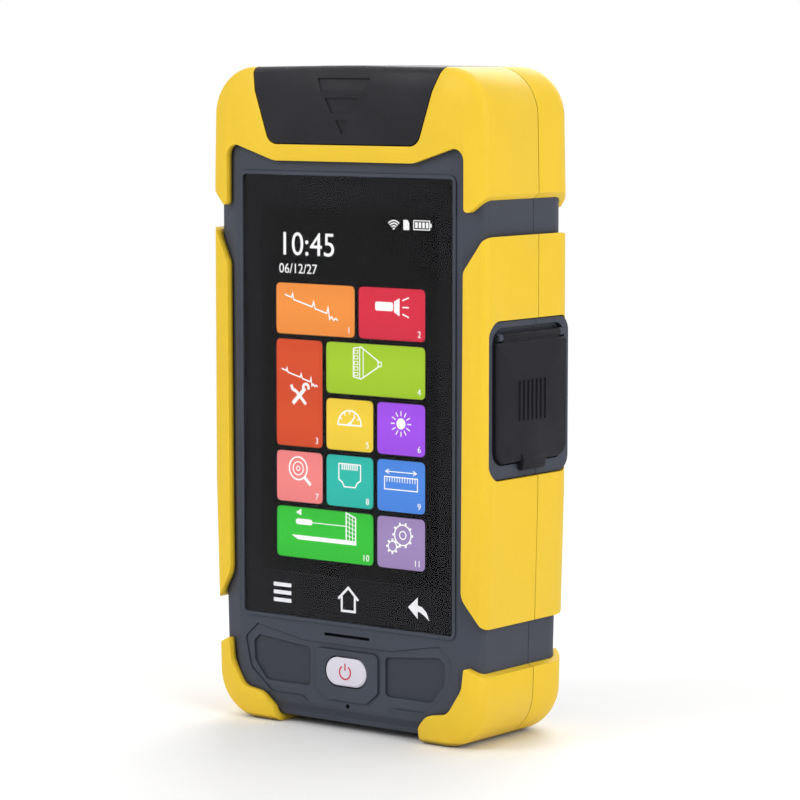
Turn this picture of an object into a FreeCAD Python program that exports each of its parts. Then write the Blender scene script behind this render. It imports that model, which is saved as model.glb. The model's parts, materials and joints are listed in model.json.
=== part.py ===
"""Handheld optical time domain reflectometer, built as an assembly of separate pieces.

Frame: X to the right of someone facing the screen, +Y from the screen to the back, +Z up.
The origin is at the bottom centre, where the feet stand. Millimetres.
"""
import FreeCAD, Part
import math
import os

V = FreeCAD.Vector

# ---- display: a 4.3 inch panel stands upright, and the case is sized round it ----
VIEW_W = 56.5
VIEW_TALL = 93.6
LENS_SIDE = 4.95
LENS_CHIN = 11.0
LENS_BROW = 7.8
LENS_LOW = 28.3
LENS_T = 1.0
LENS_R = 0.8
MASK_T = 0.2
RIM_W = 1.1
RIM_H = 0.35
GLASS_RIM = 0.3
LCD_EDGE = 2.3
LCD_T = 3.0
BACKLIGHT_T = 1.0
BACKLIGHT_RIM = 4.0
BACKLIGHT_SINK = 0.4

# ---- overall outline, over the bumpers ----
SIDE_MARGIN = 10.7
HEAD_ROOM = 27.8
DEPTH = 40.0
WAIST_IN = 1.6
TOP_IN = 0.7
FOOT_R = 12.2
TOP_R = 12.5
CROWN = 0.6
CROWN_R = 600.0
TAPER_Z = 62.0
SHOULDER_DROP = 30.5
FACET_W = 6.0
FACET_D = 1.8
FRONT_R = 3.0
BACK_R = 8.0

# ---- walls and clearances ----
BUMPER_T = 1.7
WALL = 2.4
SEAM_Y = 3.0
SEAM_GAP = 0.12
FIT = 0.2
SKIN_GAP = 0.1
MOVE_GAP = 0.3
PIN_PLAY = 0.05
PIN_FIT = 0.01
TOUCH = 0.02
JOIN = 0.5
CUT = 1.0
PAST = 5.0
FAR = 200.0

# ---- power button, the switch behind it and the panel round it ----
BUTTON_Z = 15.5
BUTTON_W = 12.8
BUTTON_TALL = 7.2
BUTTON_PROUD = 0.7
BUTTON_PLAY = 0.4
BUTTON_TRAVEL = 0.8
BUTTON_BEVEL = 0.4
FLANGE_RIM = 1.4
FLANGE_T = 0.9
STEM_R = 1.6
STEM_LONG = 0.8
SWITCH_W = 6.0
SWITCH_TALL = 3.4
PLUNGER_R = 1.7
PLUNGER_LONG = 0.9
KEY_T = 1.0
KEY_HALF_TALL = 6.0
KEY_POST_GAP = 0.8
KEY_RIM = 0.9
PANEL_LOW = 7.8
PLATE_SIDE = 3.5
PAD_GAP = 2.1
PANEL_STEP = 0.4
PAD_SINK = 0.6
PLATE_PROUD = 0.2
SLOT_W = 14.6
SLOT_TALL = 0.8
SLOT_BELOW = 0.5
MICROPHONE_R = 0.6
MICROPHONE_Z = 6.6

# ---- speaker behind the slot ----
SPEAKER_W = 17.0
SPEAKER_TALL = 8.4
SPEAKER_T = 3.2
SPEAKER_R = 1.5
MAGNET_R = 3.2
MAGNET_T = 1.2

# ---- port lid, its hinge and the bay under it ----
LID_DROP = 19.6
LID_SIDE = 13.9
LID_TAPER = 6.7
LID_R = 3.5
LID_SINK = 1.2
RELIEF = 0.4
HINGE_IN = 6.6
HINGE_DROP = 4.3
BARREL_R = 3.9
BARREL_SIDE = 2.5
EAR_T = 3.6
EAR_SKIN = 0.8
LID_PIN_R = 1.0
TROUGH_WALL = 1.5
TRAY_SIDE = 3.5
TRAY_FRONT_GAP = 2.7
TRAY_DROP = 21.0
TRAY_WALL = 1.3
TRAY_FLOOR = 1.8
TRAY_RIM = 1.0
TRAY_R = 2.0

# ---- optical ports ----
PORT_SIDE = 10.5
FERRULE_R = 1.25
FERRULE_DEEP = 8.0
PORT_TALL = 10.0
PORT_FLANGE_W = 13.0
PORT_FLANGE_T = 2.0
PORT_FLANGE_R = 2.0
PORT_STUB_R = 3.0
PORT_STUB_LONG = 3.0
SCREW_PORT_R = 4.0
KEY_W = 2.2
KEY_TALL = 4.5
METER_PORT_R = 4.6
METER_COLLAR_R = 5.4
LOCATOR_PORT_R = 3.4
LOCATOR_RING_R = 4.2
COLLAR_TALL = 2.0

# ---- side flaps and their frames ----
FLAP_LOW = 71.1
FLAP_TALL = 31.1
FLAP_INSET = 5.1
FLAP_T = 2.0
FLAP_R = 3.5
FLAP_BEVEL = 0.5
FLAP_OFF = 0.2
FLAP_PIN_R = 0.5
FLAP_BARREL_R = 1.0
FLAP_BARREL_IN = 2.9
FLAP_EAR_T = 1.6
FLAP_LIP_T = 1.2
LIP_GAP = 0.5
SURROUND_SIDE = 2.5
SURROUND_BELOW = 4.1
SURROUND_ABOVE = 4.2
SURROUND_RISE = 0.9
SURROUND_R = 4.0
RECESS_SIDE = 2.3
RECESS_BELOW = 3.3
RECESS_ABOVE = 3.8
RECESS_SINK = 1.3
RECESS_R = 2.5
NUB_W = 9.6
NUB_TALL = 4.7
NUB_DROP = 2.1
NUB_PROUD = 0.8
NUB_R = 0.5
RIDGE_W = 0.7
RIDGE_TALL = 10.0
RIDGE_PROUD = 0.35
RIDGE_PITCH = 1.8
RIDGE_COUNT = 7

# ---- sockets on the main board's two ends ----
NETWORK_T = 13.2
NETWORK_W = 16.0
NETWORK_DEEP = 15.5
PLUG_FLOOR = 1.9
PLUG_T = 8.4
PLUG_W = 12.2
PLUG_DEEP = 12.0
LATCH_T = 1.6
LATCH_W = 6.0
LATCH_DEEP = 8.0
USB_T = 7.1
USB_W = 13.1
USB_DEEP = 14.0
USB_MOUTH_T = 5.12
USB_MOUTH_W = 12.5
USB_MOUTH_DEEP = 9.0
USB_TONGUE_T = 1.9
USB_TONGUE_W = 11.2
CHARGING_T = 2.8
CHARGING_W = 7.8
CHARGING_DEEP = 6.0
CHARGING_WALL = 0.5
CHARGING_MOUTH_DEEP = 4.5
CHARGING_R = 0.8
CHARGING_TONGUE_T = 0.5
CHARGING_TONGUE_W = 3.8
CARD_T = 1.6
CARD_W = 14.0
CARD_DEEP = 14.5
CARD_WALL = 0.35
CARD_CHEEK = 1.2
TONGUE_SINK = 0.7
SOCKET_END = 1.0

# ---- boards ----
BOARD_T = 1.6
BOARD_SIDE = 1.1
BOARD_STEP = 2.3
BOARD_GAP = 0.5
BOARD_NOTCH = 0.5
BOARD_NOTCH_W = 6.0
POST_R = 2.0
POST_SIDE = 2.7
POST_END = 4.0
BOARD_SCREW_R = 0.9
BOARD_SCREW_HEAD_R = 1.8
BOARD_SCREW_HEAD_T = 1.2
BOARD_SCREW_LONG = 5.6
SHIELD_T = 3.0
SHIELD_LOW = 6.0
SHIELD_SIDE = 6.4
SHIELD_GAP = 4.0
SHIELD_R = 0.6
RIBBON_W = 18.0
RIBBON_T = 0.25
RIBBON_LAP = 4.0

# ---- optical module, fibre spool and coil ----
MODULE_TALL = 28.5
MODULE_DROP = 9.0
MODULE_SIDE = 2.7
MODULE_GAP = 2.1
FIN_PITCH = 5.0
FIN_GROOVE = 1.6
FIN_DEEP = 2.0
FIBRE_R = 0.45
FIBRE_SPREAD = 0.8
SPOOL_R = 22.0
SPOOL_T = 4.8
SPOOL_HUB_R = 9.0
SPOOL_BORE_R = 5.2
SPOOL_CHEEK = 0.8
COIL_IN = 1.5

# ---- battery ----
CELL_R = 9.2
CELL_LONG = 65.2
CELL_GAP = 0.9
CELL_SPACE = 0.6
CELL_SEAT = 0.1
CELL_NUB_R = 2.8
CELL_NUB = 1.2
CONTACT_T = 0.5
CONTACT_W = 8.0
LEAD_R = 0.7
LEAD_X = 6.0
LEAD_RISE = 0.2
RIB_T = 1.6
RIB_IN = 10.4
RIB_RISE = 2.0

# ---- case screws ----
SCREW_R = 1.0
SCREW_PLAY = 0.2
SCREW_HEAD_R = 2.2
SCREW_HEAD_T = 1.6
SCREW_SINK = 5.0
SCREW_START = 9.0
BOSS_R = 2.4
REAR_BOSS_R = 3.5
BOSS_SIDE = 6.6
FOOT_SCREW_X = 20.0
FOOT_SCREW_RISE = 2.7
MID_SCREW_GAP = 5.9
TOP_SCREW_DROP = 28.5

# ---- kickstand ----
STAND_W = 40.0
STAND_GAP = 7.6
STAND_PIN_DROP = 36.5
STAND_T = 2.8
STAND_R = 3.0
STAND_PIN_R = 1.0
STAND_PIN_OUT = 3.0
STAND_FLOOR = 1.8
STAND_WELL_WALL = 1.5
STAND_PANEL_SIDE = 6.0
STAND_PANEL_LOW = 14.0
STAND_PANEL_TOP = 10.0
STAND_PANEL_SINK = 0.8
SCOOP_R = 9.0
SCOOP_OUT = 5.6

# ---- battery door ----
DOOR_SIDE = 1.0
DOOR_BELOW = 0.8
DOOR_ABOVE = 1.0
DOOR_R = 3.0
DOOR_LEDGE = 1.2
DOOR_FRAME = 2.0
DOOR_TAB_W = 12.0
DOOR_TAB_TALL = 6.8
DOOR_TAB_R = 2.0
DOOR_POST_R = 2.6
DOOR_SCREW_R = 0.9
DOOR_SCREW_LONG = 7.0
DOOR_HOLE_R = 1.3
DOOR_HEAD_R = 2.1
DOOR_HEAD_T = 0.9
GRIP_W = 18.0
GRIP_T = 0.9
GRIP_PITCH = 2.0
GRIP_SINK = 0.4
GRIP_RISE = 4.1

# ---- bumper outlines: (in from the case's side, up from the foot or down from the top) ----
FOOT_EDGE = [(1.7, 18.7), (6.2, 20.9), (6.8, 15.2), (11.1, 8.6), (17.3, 7.7), (20.5, 4.2), (20.9, 0.0)]
FOOT_EDGE_R = [2.5, 0.6, 5.0, 4.0, 4.0, 2.0, 0]
FOOT_SIDE_Z = 17.6
SIDE_LOW_EDGE = [(6.9, 38.2), (1.7, 30.7), (0.0, 30.4)]
SIDE_TOP_EDGE = [(0.0, 41.5), (1.3, 41.9), (6.4, 50.2)]
SIDE_LOW_R = [6.0, 3.0, 0]
SIDE_TOP_R = [0, 4.0, 3.0]
WING_EDGE = [(6.3, 19.1), (6.3, 36.8), (0.0, 31.3)]
WING_EDGE_R = [3.0, 1.0, 0]
BRIDGE_DROP = 24.0
BRIDGE_SIDE = 1.3
BRIDGE_R = 6.0

# ---- planes and places that follow from them ----
LENS_W = VIEW_W + 2 * LENS_SIDE
LENS_TALL = LENS_CHIN + VIEW_TALL + LENS_BROW
VIEW_LOW = LENS_LOW + LENS_CHIN
WIDTH = LENS_W + 2 * SIDE_MARGIN
HEIGHT = LENS_LOW + LENS_TALL + HEAD_ROOM
EDGE = WIDTH / 2
FRONT = -DEPTH / 2
BACK = DEPTH / 2
BODY_FRONT = FRONT + BUMPER_T
BODY_BACK = BACK - BUMPER_T
BODY_HALF = EDGE - BUMPER_T
BODY_TOP = HEIGHT - BUMPER_T
INNER_FRONT = BODY_FRONT + WALL
INNER_BACK = BODY_BACK - WALL
INNER_HALF = BODY_HALF - WALL
MASK_Y = BODY_FRONT + LENS_T
GLASS_Y = MASK_Y + MASK_T
BOARD_Y = INNER_FRONT + LCD_T + BACKLIGHT_T + BOARD_STEP
BOARD_BACK = BOARD_Y + BOARD_T
BOARD_HALF = INNER_HALF - BOARD_SIDE
POST_X = BOARD_HALF - POST_SIDE

FLANGE_Y = INNER_FRONT + SKIN_GAP
STEM_END = FLANGE_Y + FLANGE_T + STEM_LONG
SWITCH_TOP = STEM_END + BUTTON_TRAVEL + SKIN_GAP
KEY_Y = SWITCH_TOP + SWITCH_TALL
KEY_POST_X = BUTTON_W / 2 + FLANGE_RIM + POST_R + KEY_POST_GAP
KEY_HALF = KEY_POST_X + POST_R + KEY_RIM
SPEAKER_LOW = BUTTON_Z + BUTTON_TALL / 2 + FLANGE_RIM + BUTTON_PLAY
SPEAKER_Z = SPEAKER_LOW + SPEAKER_TALL / 2
SLOT_Z = SPEAKER_Z - SLOT_BELOW

LID_TOP_W = WIDTH - 2 * LID_SIDE
LID_LOW_W = LID_TOP_W - 2 * LID_TAPER
HINGE_Y = BACK - HINGE_IN
HINGE_Z = HEIGHT - HINGE_DROP
TRAY_W = LID_TOP_W - 2 * TRAY_SIDE
TRAY_FRONT = INNER_FRONT + TRAY_FRONT_GAP
TRAY_BACK = HINGE_Y - HINGE_DROP - MOVE_GAP - 2 * TROUGH_WALL
TRAY_LOW = HEIGHT - TRAY_DROP
TRAY_TOP = BODY_TOP - LID_SINK - FIT
BARREL_W = TRAY_W - 2 * BARREL_SIDE
LID_PIN_REACH = BARREL_W / 2 + MOVE_GAP + EAR_T - EAR_SKIN
BAY_FLOOR = TRAY_LOW + TRAY_FLOOR
PORT_TOP = BAY_FLOOR + PORT_TALL
PORT_PITCH = TRAY_W / 2 - PORT_SIDE
PORT_Y = (TRAY_FRONT + TRAY_BACK) / 2

FLAP_TOP = FLAP_LOW + FLAP_TALL
FLAP_W = DEPTH - 2 * FLAP_INSET
FLAP_BARREL_W = FLAP_W - 2 * FLAP_BARREL_IN
FLAP_PIN_X = BODY_HALF + FLAP_BARREL_R
SURROUND_HALF = FLAP_W / 2 + SURROUND_SIDE
SURROUND_LOW = FLAP_LOW - SURROUND_BELOW
SURROUND_TOP = FLAP_TOP + SURROUND_ABOVE
RECESS_HALF = FLAP_W / 2 - RECESS_SIDE
RECESS_LOW = FLAP_LOW + RECESS_BELOW
RECESS_TOP = FLAP_TOP - RECESS_ABOVE
RECESS_MID = (RECESS_LOW + RECESS_TOP) / 2
RECESS_X = BODY_HALF - RECESS_SINK

FOOT_SCREW_Z = BUMPER_T + WALL + FOOT_SCREW_RISE
CELL_Y = INNER_BACK - CELL_R - CELL_GAP
CELL_LOW_Z = FOOT_SCREW_Z + REAR_BOSS_R + CELL_R + CELL_GAP
CELL_PITCH = 2 * CELL_R + CELL_SPACE
CELLS_TOP = CELL_LOW_Z + CELL_PITCH + CELL_R
MID_SCREW_Z = CELLS_TOP + MID_SCREW_GAP
TOP_SCREW_Z = HEIGHT - TOP_SCREW_DROP
BOSS_X = INNER_HALF - BOSS_SIDE
SCREW_AT = [(FOOT_SCREW_X, FOOT_SCREW_Z), (BOSS_X, MID_SCREW_Z), (BOSS_X, TOP_SCREW_Z)]
BOARD_LOW = MID_SCREW_Z + REAR_BOSS_R
BOARD_TOP = TOP_SCREW_Z - REAR_BOSS_R - BOARD_GAP

DOOR_W = CELL_LONG + 2 * DOOR_SIDE
DOOR_LOW = CELL_LOW_Z - CELL_R - DOOR_BELOW
DOOR_TOP = CELLS_TOP + DOOR_ABOVE
DOOR_TAB_TOP = DOOR_TOP + DOOR_TAB_TALL
DOOR_SCREW_Z = (DOOR_TOP + DOOR_TAB_TOP) / 2
STAND_LOW = DOOR_TAB_TOP + STAND_GAP
STAND_PIN_Z = HEIGHT - STAND_PIN_DROP
STAND_SINK = STAND_T + 2 * MOVE_GAP
STAND_Y = BODY_BACK - FIT - STAND_T / 2

SPOOL_Y = BODY_BACK - STAND_SINK - STAND_FLOOR - SPOOL_T - FIT
MODULE_TOP = TRAY_LOW - MODULE_DROP
MODULE_LOW = MODULE_TOP - MODULE_TALL
MODULE_HALF = BOSS_X - REAR_BOSS_R - MODULE_SIDE
MODULE_BACK = SPOOL_Y - MODULE_GAP
SPOOL_Z = MODULE_LOW - SPOOL_R
SHIELD_HALF = RECESS_X - NETWORK_DEEP - SHIELD_SIDE


# ---- shape helpers ----
def unit(x, y):
    size = math.hypot(x, y)
    return x / size, y / size


def rounded_wire(points, radii, place):
    """Closed wire through 2-D points, each corner rounded to its own radius."""
    corners = []
    for i, (x, y) in enumerate(points):
        after = points[(i + 1) % len(points)]
        ux, uy = unit(points[i - 1][0] - x, points[i - 1][1] - y)
        vx, vy = unit(after[0] - x, after[1] - y)
        radius = radii[i]
        if not radius:
            corners.append([(x, y)])
            continue
        half = math.acos(max(-1.0, min(1.0, ux * vx + uy * vy))) / 2
        reach = radius / math.tan(half)
        mx, my = unit(ux + vx, uy + vy)
        rise = radius / math.sin(half) - radius
        corners.append([(x + ux * reach, y + uy * reach), (x + mx * rise, y + my * rise),
                        (x + vx * reach, y + vy * reach)])
    edges = []
    for i, corner in enumerate(corners):
        if len(corner) == 3:
            edges.append(Part.Arc(*[place(*p) for p in corner]).toShape())
        start = place(*corner[-1])
        end = place(*corners[(i + 1) % len(corners)][0])
        if start.distanceToPoint(end) > 1e-6:
            edges.append(Part.LineSegment(start, end).toShape())
    return Part.Wire(edges)


PLACES = {
    "xz": (lambda u, v, w: V(u, w, v), V(0, 1, 0)),
    "yz": (lambda u, v, w: V(w, u, v), V(1, 0, 0)),
    "xy": (lambda u, v, w: V(u, v, w), V(0, 0, 1)),
}


def prism(plane, points, radii, low, high):
    """Outline with rounded corners in a plane, extruded along the plane's normal."""
    if not isinstance(radii, (list, tuple)):
        radii = [radii] * len(points)
    place, along = PLACES[plane]
    wire = rounded_wire(points, radii, lambda u, v: place(u, v, low))
    return Part.Face(wire).extrude(along * (high - low))


def rect(u0, u1, v0, v1):
    return [(u0, v0), (u1, v0), (u1, v1), (u0, v1)]


def box(x0, x1, y0, y1, z0, z1):
    return Part.makeBox(x1 - x0, y1 - y0, z1 - z0, V(x0, y0, z0))


def rod(radius, start, end):
    start, end = V(*start), V(*end)
    return Part.makeCylinder(radius, (end - start).Length, start, end - start)


def along_x(radius, x0, x1, y, z):
    return rod(radius, (x0, y, z), (x1, y, z))


def along_y(radius, x, y0, y1, z):
    return rod(radius, (x, y0, z), (x, y1, z))


def mirrored(shape):
    return shape.mirror(V(0, 0, 0), V(1, 0, 0))


def on_side(shape, side):
    """A shape made for the right side, mirrored where it belongs on the left."""
    return shape if side > 0 else mirrored(shape)


def pair(shape):
    return [shape, mirrored(shape)]


def wide(points):
    """Right half of an outline, from its middle out, with its mirror image to close it."""
    return points + [(-x, z) for x, z in reversed(points)]


def wide_radii(radii):
    return radii + radii[::-1]


def front_half(gap=0.0):
    return box(-FAR, FAR, -FAR, SEAM_Y - gap, -FAR, 2 * FAR)


def back_half(gap=0.0):
    return box(-FAR, FAR, SEAM_Y + gap, FAR, -FAR, 2 * FAR)


# ---- the outline all outer pieces share ----
def outline(inset, y):
    """Front outline of the instrument, moved inwards by inset, in the plane y."""
    foot_r, top_r = FOOT_R - inset, TOP_R - inset
    right = [(EDGE - WAIST_IN - inset, inset, foot_r),
             (EDGE - inset, TAPER_Z, 0),
             (EDGE - inset, HEIGHT - SHOULDER_DROP, 0),
             (EDGE - TOP_IN - inset, HEIGHT - CROWN - inset, top_r)]
    left = [(-x, z, r) for x, z, r in reversed(right)]
    corners = right + [(0, HEIGHT - inset, CROWN_R)] + left
    points = [(x, z) for x, z, r in corners]
    return rounded_wire(points, [r for x, z, r in corners], lambda u, v: V(u, y, v))


def edges_at(shape, y):
    return [e for e in shape.Edges if all(abs(p.y - y) < 1e-4 for p in e.discretize(3))]


def edges_across(shape, x):
    return [e for e in shape.Edges if all(abs(p.x - x) < 1e-4 for p in e.discretize(3))]


def housing(inset):
    """Solid of the whole instrument, with a faceted front rim and a rounded back."""
    low_y, high_y = FRONT + inset, BACK - inset
    body = Part.Face(outline(inset, low_y)).extrude(V(0, high_y - low_y, 0))
    body = body.makeChamfer(FACET_D, FACET_W, edges_at(body, low_y))
    nose_r = FRONT_R * (1 - inset / FACET_W)
    body = body.makeFillet(nose_r, edges_at(body, low_y + FACET_D))
    return body.makeFillet(BACK_R - inset, edges_at(body, high_y))


def cavity():
    inset = BUMPER_T + WALL
    hollow = Part.Face(outline(inset, INNER_FRONT)).extrude(V(0, INNER_BACK - INNER_FRONT, 0))
    slant = (BACK_R - inset) * (2 - math.sqrt(2))
    return hollow.makeChamfer(slant, edges_at(hollow, INNER_BACK))


OUTER = housing(0)
BODY = housing(BUMPER_T)
SKIN = OUTER.cut(housing(BUMPER_T - SKIN_GAP))
CAVITY = cavity()


# ---- port lid ----
def lid_prism(gap, back, low=HEIGHT - LID_DROP):
    """The lid's front trapezoid, grown by gap and run back to the plane back."""
    high = HEIGHT + PAST

    def half(z):
        return LID_LOW_W / 2 + (z - HEIGHT + LID_DROP) * LID_TAPER / LID_DROP + gap

    points = [(half(low), low - gap), (half(high), high), (-half(high), high), (-half(low), low - gap)]
    return prism("xz", points, [LID_R, 0, 0, LID_R], FRONT - PAST, back)


def lid_arrow():
    """Three marks that narrow towards a point, the sign for which way the lid lifts."""
    top = HEIGHT - LID_DROP / 6
    slope = 0.61
    marks = []
    for start, end in ((0.0, 0.2), (0.3, 0.53), (0.64, 0.84)):
        high, low = top - start * LID_DROP * 0.83, top - end * LID_DROP * 0.83
        reach = top - LID_DROP * 0.7
        marks.append([((high - reach) * slope, high), ((low - reach) * slope + RIM_H, low)])
    return Part.makeCompound([prism("xz", wide(m), 0, FRONT - CUT, FRONT + FRONT_R) for m in marks])


def port_lid():
    under = housing(BUMPER_T + LID_SINK - MOVE_GAP)
    cover = OUTER.cut(under)
    ear_front = HINGE_Y - BARREL_R - MOVE_GAP
    half = BARREL_W / 2
    plate = cover.common(lid_prism(0, ear_front))
    neck = cover.common(lid_prism(0, HINGE_Y)).common(box(-half, half, ear_front - CUT, HINGE_Y, 0, FAR))
    barrel = along_x(BARREL_R, -half, half, HINGE_Y, HINGE_Z)
    bore = along_x(LID_PIN_R + PIN_PLAY, -FAR, FAR, HINGE_Y, HINGE_Z)
    relief = OUTER.cut(housing(RELIEF)).common(lid_arrow())
    return plate.fuse([neck, barrel]).cut([bore, relief])


def lid_hinge_pin():
    return along_x(LID_PIN_R, -LID_PIN_REACH, LID_PIN_REACH, HINGE_Y, HINGE_Z)


def lid_ears():
    """The two fixed knuckles beside the lid's barrel, with the webs that carry them."""
    inner = BARREL_W / 2 + MOVE_GAP
    outer = inner + EAR_T
    knuckle = along_x(BARREL_R, inner, outer, HINGE_Y, HINGE_Z)
    web = box(inner, outer, HINGE_Y - BARREL_R, INNER_BACK + JOIN, BAY_FLOOR + HINGE_DROP, HINGE_Z)
    return pair(knuckle.fuse(web))


def trough():
    """Liner under the lid's barrel that closes the case."""
    reach = HINGE_DROP + MOVE_GAP + TROUGH_WALL
    half = BARREL_W / 2 + MOVE_GAP + EAR_T
    return box(-half, half, HINGE_Y - reach, INNER_BACK + JOIN, HINGE_Z - reach, BODY_TOP - LID_SINK - JOIN)


def trough_space():
    sweep = HINGE_DROP + MOVE_GAP
    half = BARREL_W / 2 + MOVE_GAP
    groove = along_x(sweep, -half, half, HINGE_Y, HINGE_Z)
    above = box(-half, half, HINGE_Y - sweep, HINGE_Y + sweep, HINGE_Z, HEIGHT + PAST)
    return groove.fuse(above)


# ---- case features the two shells share ----
def lid_seat():
    """What is taken off the shells so that the lid lies over them."""
    return lid_prism(MOVE_GAP, HINGE_Y + BARREL_R).cut(housing(BUMPER_T + LID_SINK))


def tray_hole():
    half = TRAY_W / 2 + FIT
    return box(-half, half, TRAY_FRONT - FIT, TRAY_BACK + FIT, BODY_TOP - WALL - CUT, HEIGHT)


def side_frame(side):
    """Raised frame round a flap, with the two ears that hold the flap's pin."""
    root, face = BODY_HALF - JOIN, BODY_HALF + SURROUND_RISE
    half = SURROUND_HALF - MOVE_GAP
    hole_half = FLAP_W / 2 + LIP_GAP
    ring = prism("yz", rect(-half, half, SURROUND_LOW + MOVE_GAP, SURROUND_TOP - MOVE_GAP),
                 SURROUND_R - FIT, root, face)
    hole = prism("yz", rect(-hole_half, hole_half, FLAP_LOW - LIP_GAP, SURROUND_TOP - 2 * SURROUND_RISE),
                 FLAP_R + LIP_GAP, BODY_HALF - PAST, face + PAST)
    shape = ring.cut(hole)
    inner = FLAP_BARREL_W / 2 + FIT
    for y in (inner, -inner - FLAP_EAR_T):
        knuckle = rod(FLAP_BARREL_R, (FLAP_PIN_X, y, FLAP_TOP), (FLAP_PIN_X, y + FLAP_EAR_T, FLAP_TOP))
        web = box(root, FLAP_PIN_X, y, y + FLAP_EAR_T, FLAP_TOP - FLAP_BARREL_R, FLAP_TOP + FLAP_BARREL_R)
        shape = shape.fuse([knuckle, web])
    bore = rod(FLAP_PIN_R + PIN_FIT, (FLAP_PIN_X, -FLAP_W / 2, FLAP_TOP), (FLAP_PIN_X, FLAP_W / 2, FLAP_TOP))
    return on_side(shape.cut(bore), side)


def side_recess(side):
    """Pocket behind a flap for its sealing lip, with the channel for its barrel."""
    pocket = prism("yz", rect(-RECESS_HALF, RECESS_HALF, RECESS_LOW, RECESS_TOP), RECESS_R,
                   RECESS_X, BODY_HALF + PAST)
    half = FLAP_BARREL_W / 2 + FIT
    reach = FLAP_BARREL_R + 2 * MOVE_GAP
    channel = box(BODY_HALF - MOVE_GAP, BODY_HALF + CUT, -half, half, FLAP_TOP - reach, FLAP_TOP + reach)
    return on_side(pocket.fuse(channel), side)


# ---- sockets: (low y, high y, low z, high z, depth) ----
def socket_size(y0, thick, middle, width, deep):
    return y0, y0 + thick, middle - width / 2, middle + width / 2, deep


NETWORK = socket_size(BOARD_BACK, NETWORK_T, RECESS_MID, NETWORK_W, NETWORK_DEEP)
USB = socket_size(BOARD_BACK, USB_T, RECESS_TOP - USB_W / 2 - SOCKET_END, USB_W, USB_DEEP)
CHARGING = socket_size(BOARD_BACK, CHARGING_T, RECESS_LOW + CHARGING_W / 2 + SOCKET_END, CHARGING_W,
                       CHARGING_DEEP)
CARD = socket_size(BOARD_Y - CARD_T, CARD_T, RECESS_MID, CARD_W, CARD_DEEP)


def socket_space(size, side):
    """Hole in a side wall that a socket's nose fills."""
    y0, y1, z0, z1, deep = size
    hole = box(INNER_HALF - CUT, BODY_HALF + CUT, y0 - TOUCH, y1 + TOUCH, z0 - TOUCH, z1 + TOUCH)
    return on_side(hole, side)


def socket_block(size):
    y0, y1, z0, z1, deep = size
    return box(RECESS_X - deep, RECESS_X, y0, y1, z0, z1)


def tongue(y, thick, middle, width, deep):
    """Contact tongue that stands in a socket's mouth."""
    return box(RECESS_X - deep - JOIN, RECESS_X - TONGUE_SINK, y, y + thick, middle - width / 2,
               middle + width / 2)


def network_socket():
    y0, y1, z0, z1, deep = NETWORK
    mid = (z0 + z1) / 2
    low = y0 + PLUG_FLOOR
    mouth = box(RECESS_X - PLUG_DEEP, RECESS_X + CUT, low, low + PLUG_T, mid - PLUG_W / 2, mid + PLUG_W / 2)
    latch = box(RECESS_X - LATCH_DEEP, RECESS_X + CUT, low + PLUG_T - MOVE_GAP, low + PLUG_T + LATCH_T,
                mid - LATCH_W / 2, mid + LATCH_W / 2)
    return mirrored(socket_block(NETWORK).cut([mouth, latch]))


def usb_socket():
    y0, y1, z0, z1, deep = USB
    y, z = (y0 + y1) / 2, (z0 + z1) / 2
    mouth = box(RECESS_X - USB_MOUTH_DEEP, RECESS_X + CUT, y - USB_MOUTH_T / 2, y + USB_MOUTH_T / 2,
                z - USB_MOUTH_W / 2, z + USB_MOUTH_W / 2)
    blade = tongue(y - USB_TONGUE_T, USB_TONGUE_T, z, USB_TONGUE_W, USB_MOUTH_DEEP)
    return socket_block(USB).cut(mouth).fuse(blade)


def charging_socket():
    y0, y1, z0, z1, deep = CHARGING
    wall = CHARGING_WALL
    inner = rect(y0 + wall, y1 - wall, z0 + wall, z1 - wall)
    mouth = prism("yz", inner, [0, CHARGING_R, CHARGING_R, 0], RECESS_X - CHARGING_MOUTH_DEEP, RECESS_X + CUT)
    blade = tongue((y0 + y1 - CHARGING_TONGUE_T) / 2, CHARGING_TONGUE_T, (z0 + z1) / 2, CHARGING_TONGUE_W,
                   CHARGING_MOUTH_DEEP)
    return socket_block(CHARGING).cut(mouth).fuse(blade)


def card_socket():
    y0, y1, z0, z1, deep = CARD
    slot = box(RECESS_X - deep + CARD_CHEEK, RECESS_X + CUT, y0 + CARD_WALL, y1 - CARD_WALL,
               z0 + CARD_CHEEK, z1 - CARD_CHEEK)
    return socket_block(CARD).cut(slot)


# ---- front shell ----
def lens_box(y0, y1, grow=0.0):
    half = LENS_W / 2 + grow
    points = rect(-half, half, LENS_LOW - grow, LENS_LOW + LENS_TALL + grow)
    return prism("xz", points, LENS_R + grow, y0, y1)


def view_box(y0, y1, grow=0.0):
    half = VIEW_W / 2 + grow
    return box(-half, half, y0, y1, VIEW_LOW - grow, VIEW_LOW + VIEW_TALL + grow)


def pill(width, tall, z, y0, y1):
    half = width / 2
    return prism("xz", rect(-half, half, z - tall / 2, z + tall / 2), tall / 2 - PIN_FIT, y0, y1)


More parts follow.
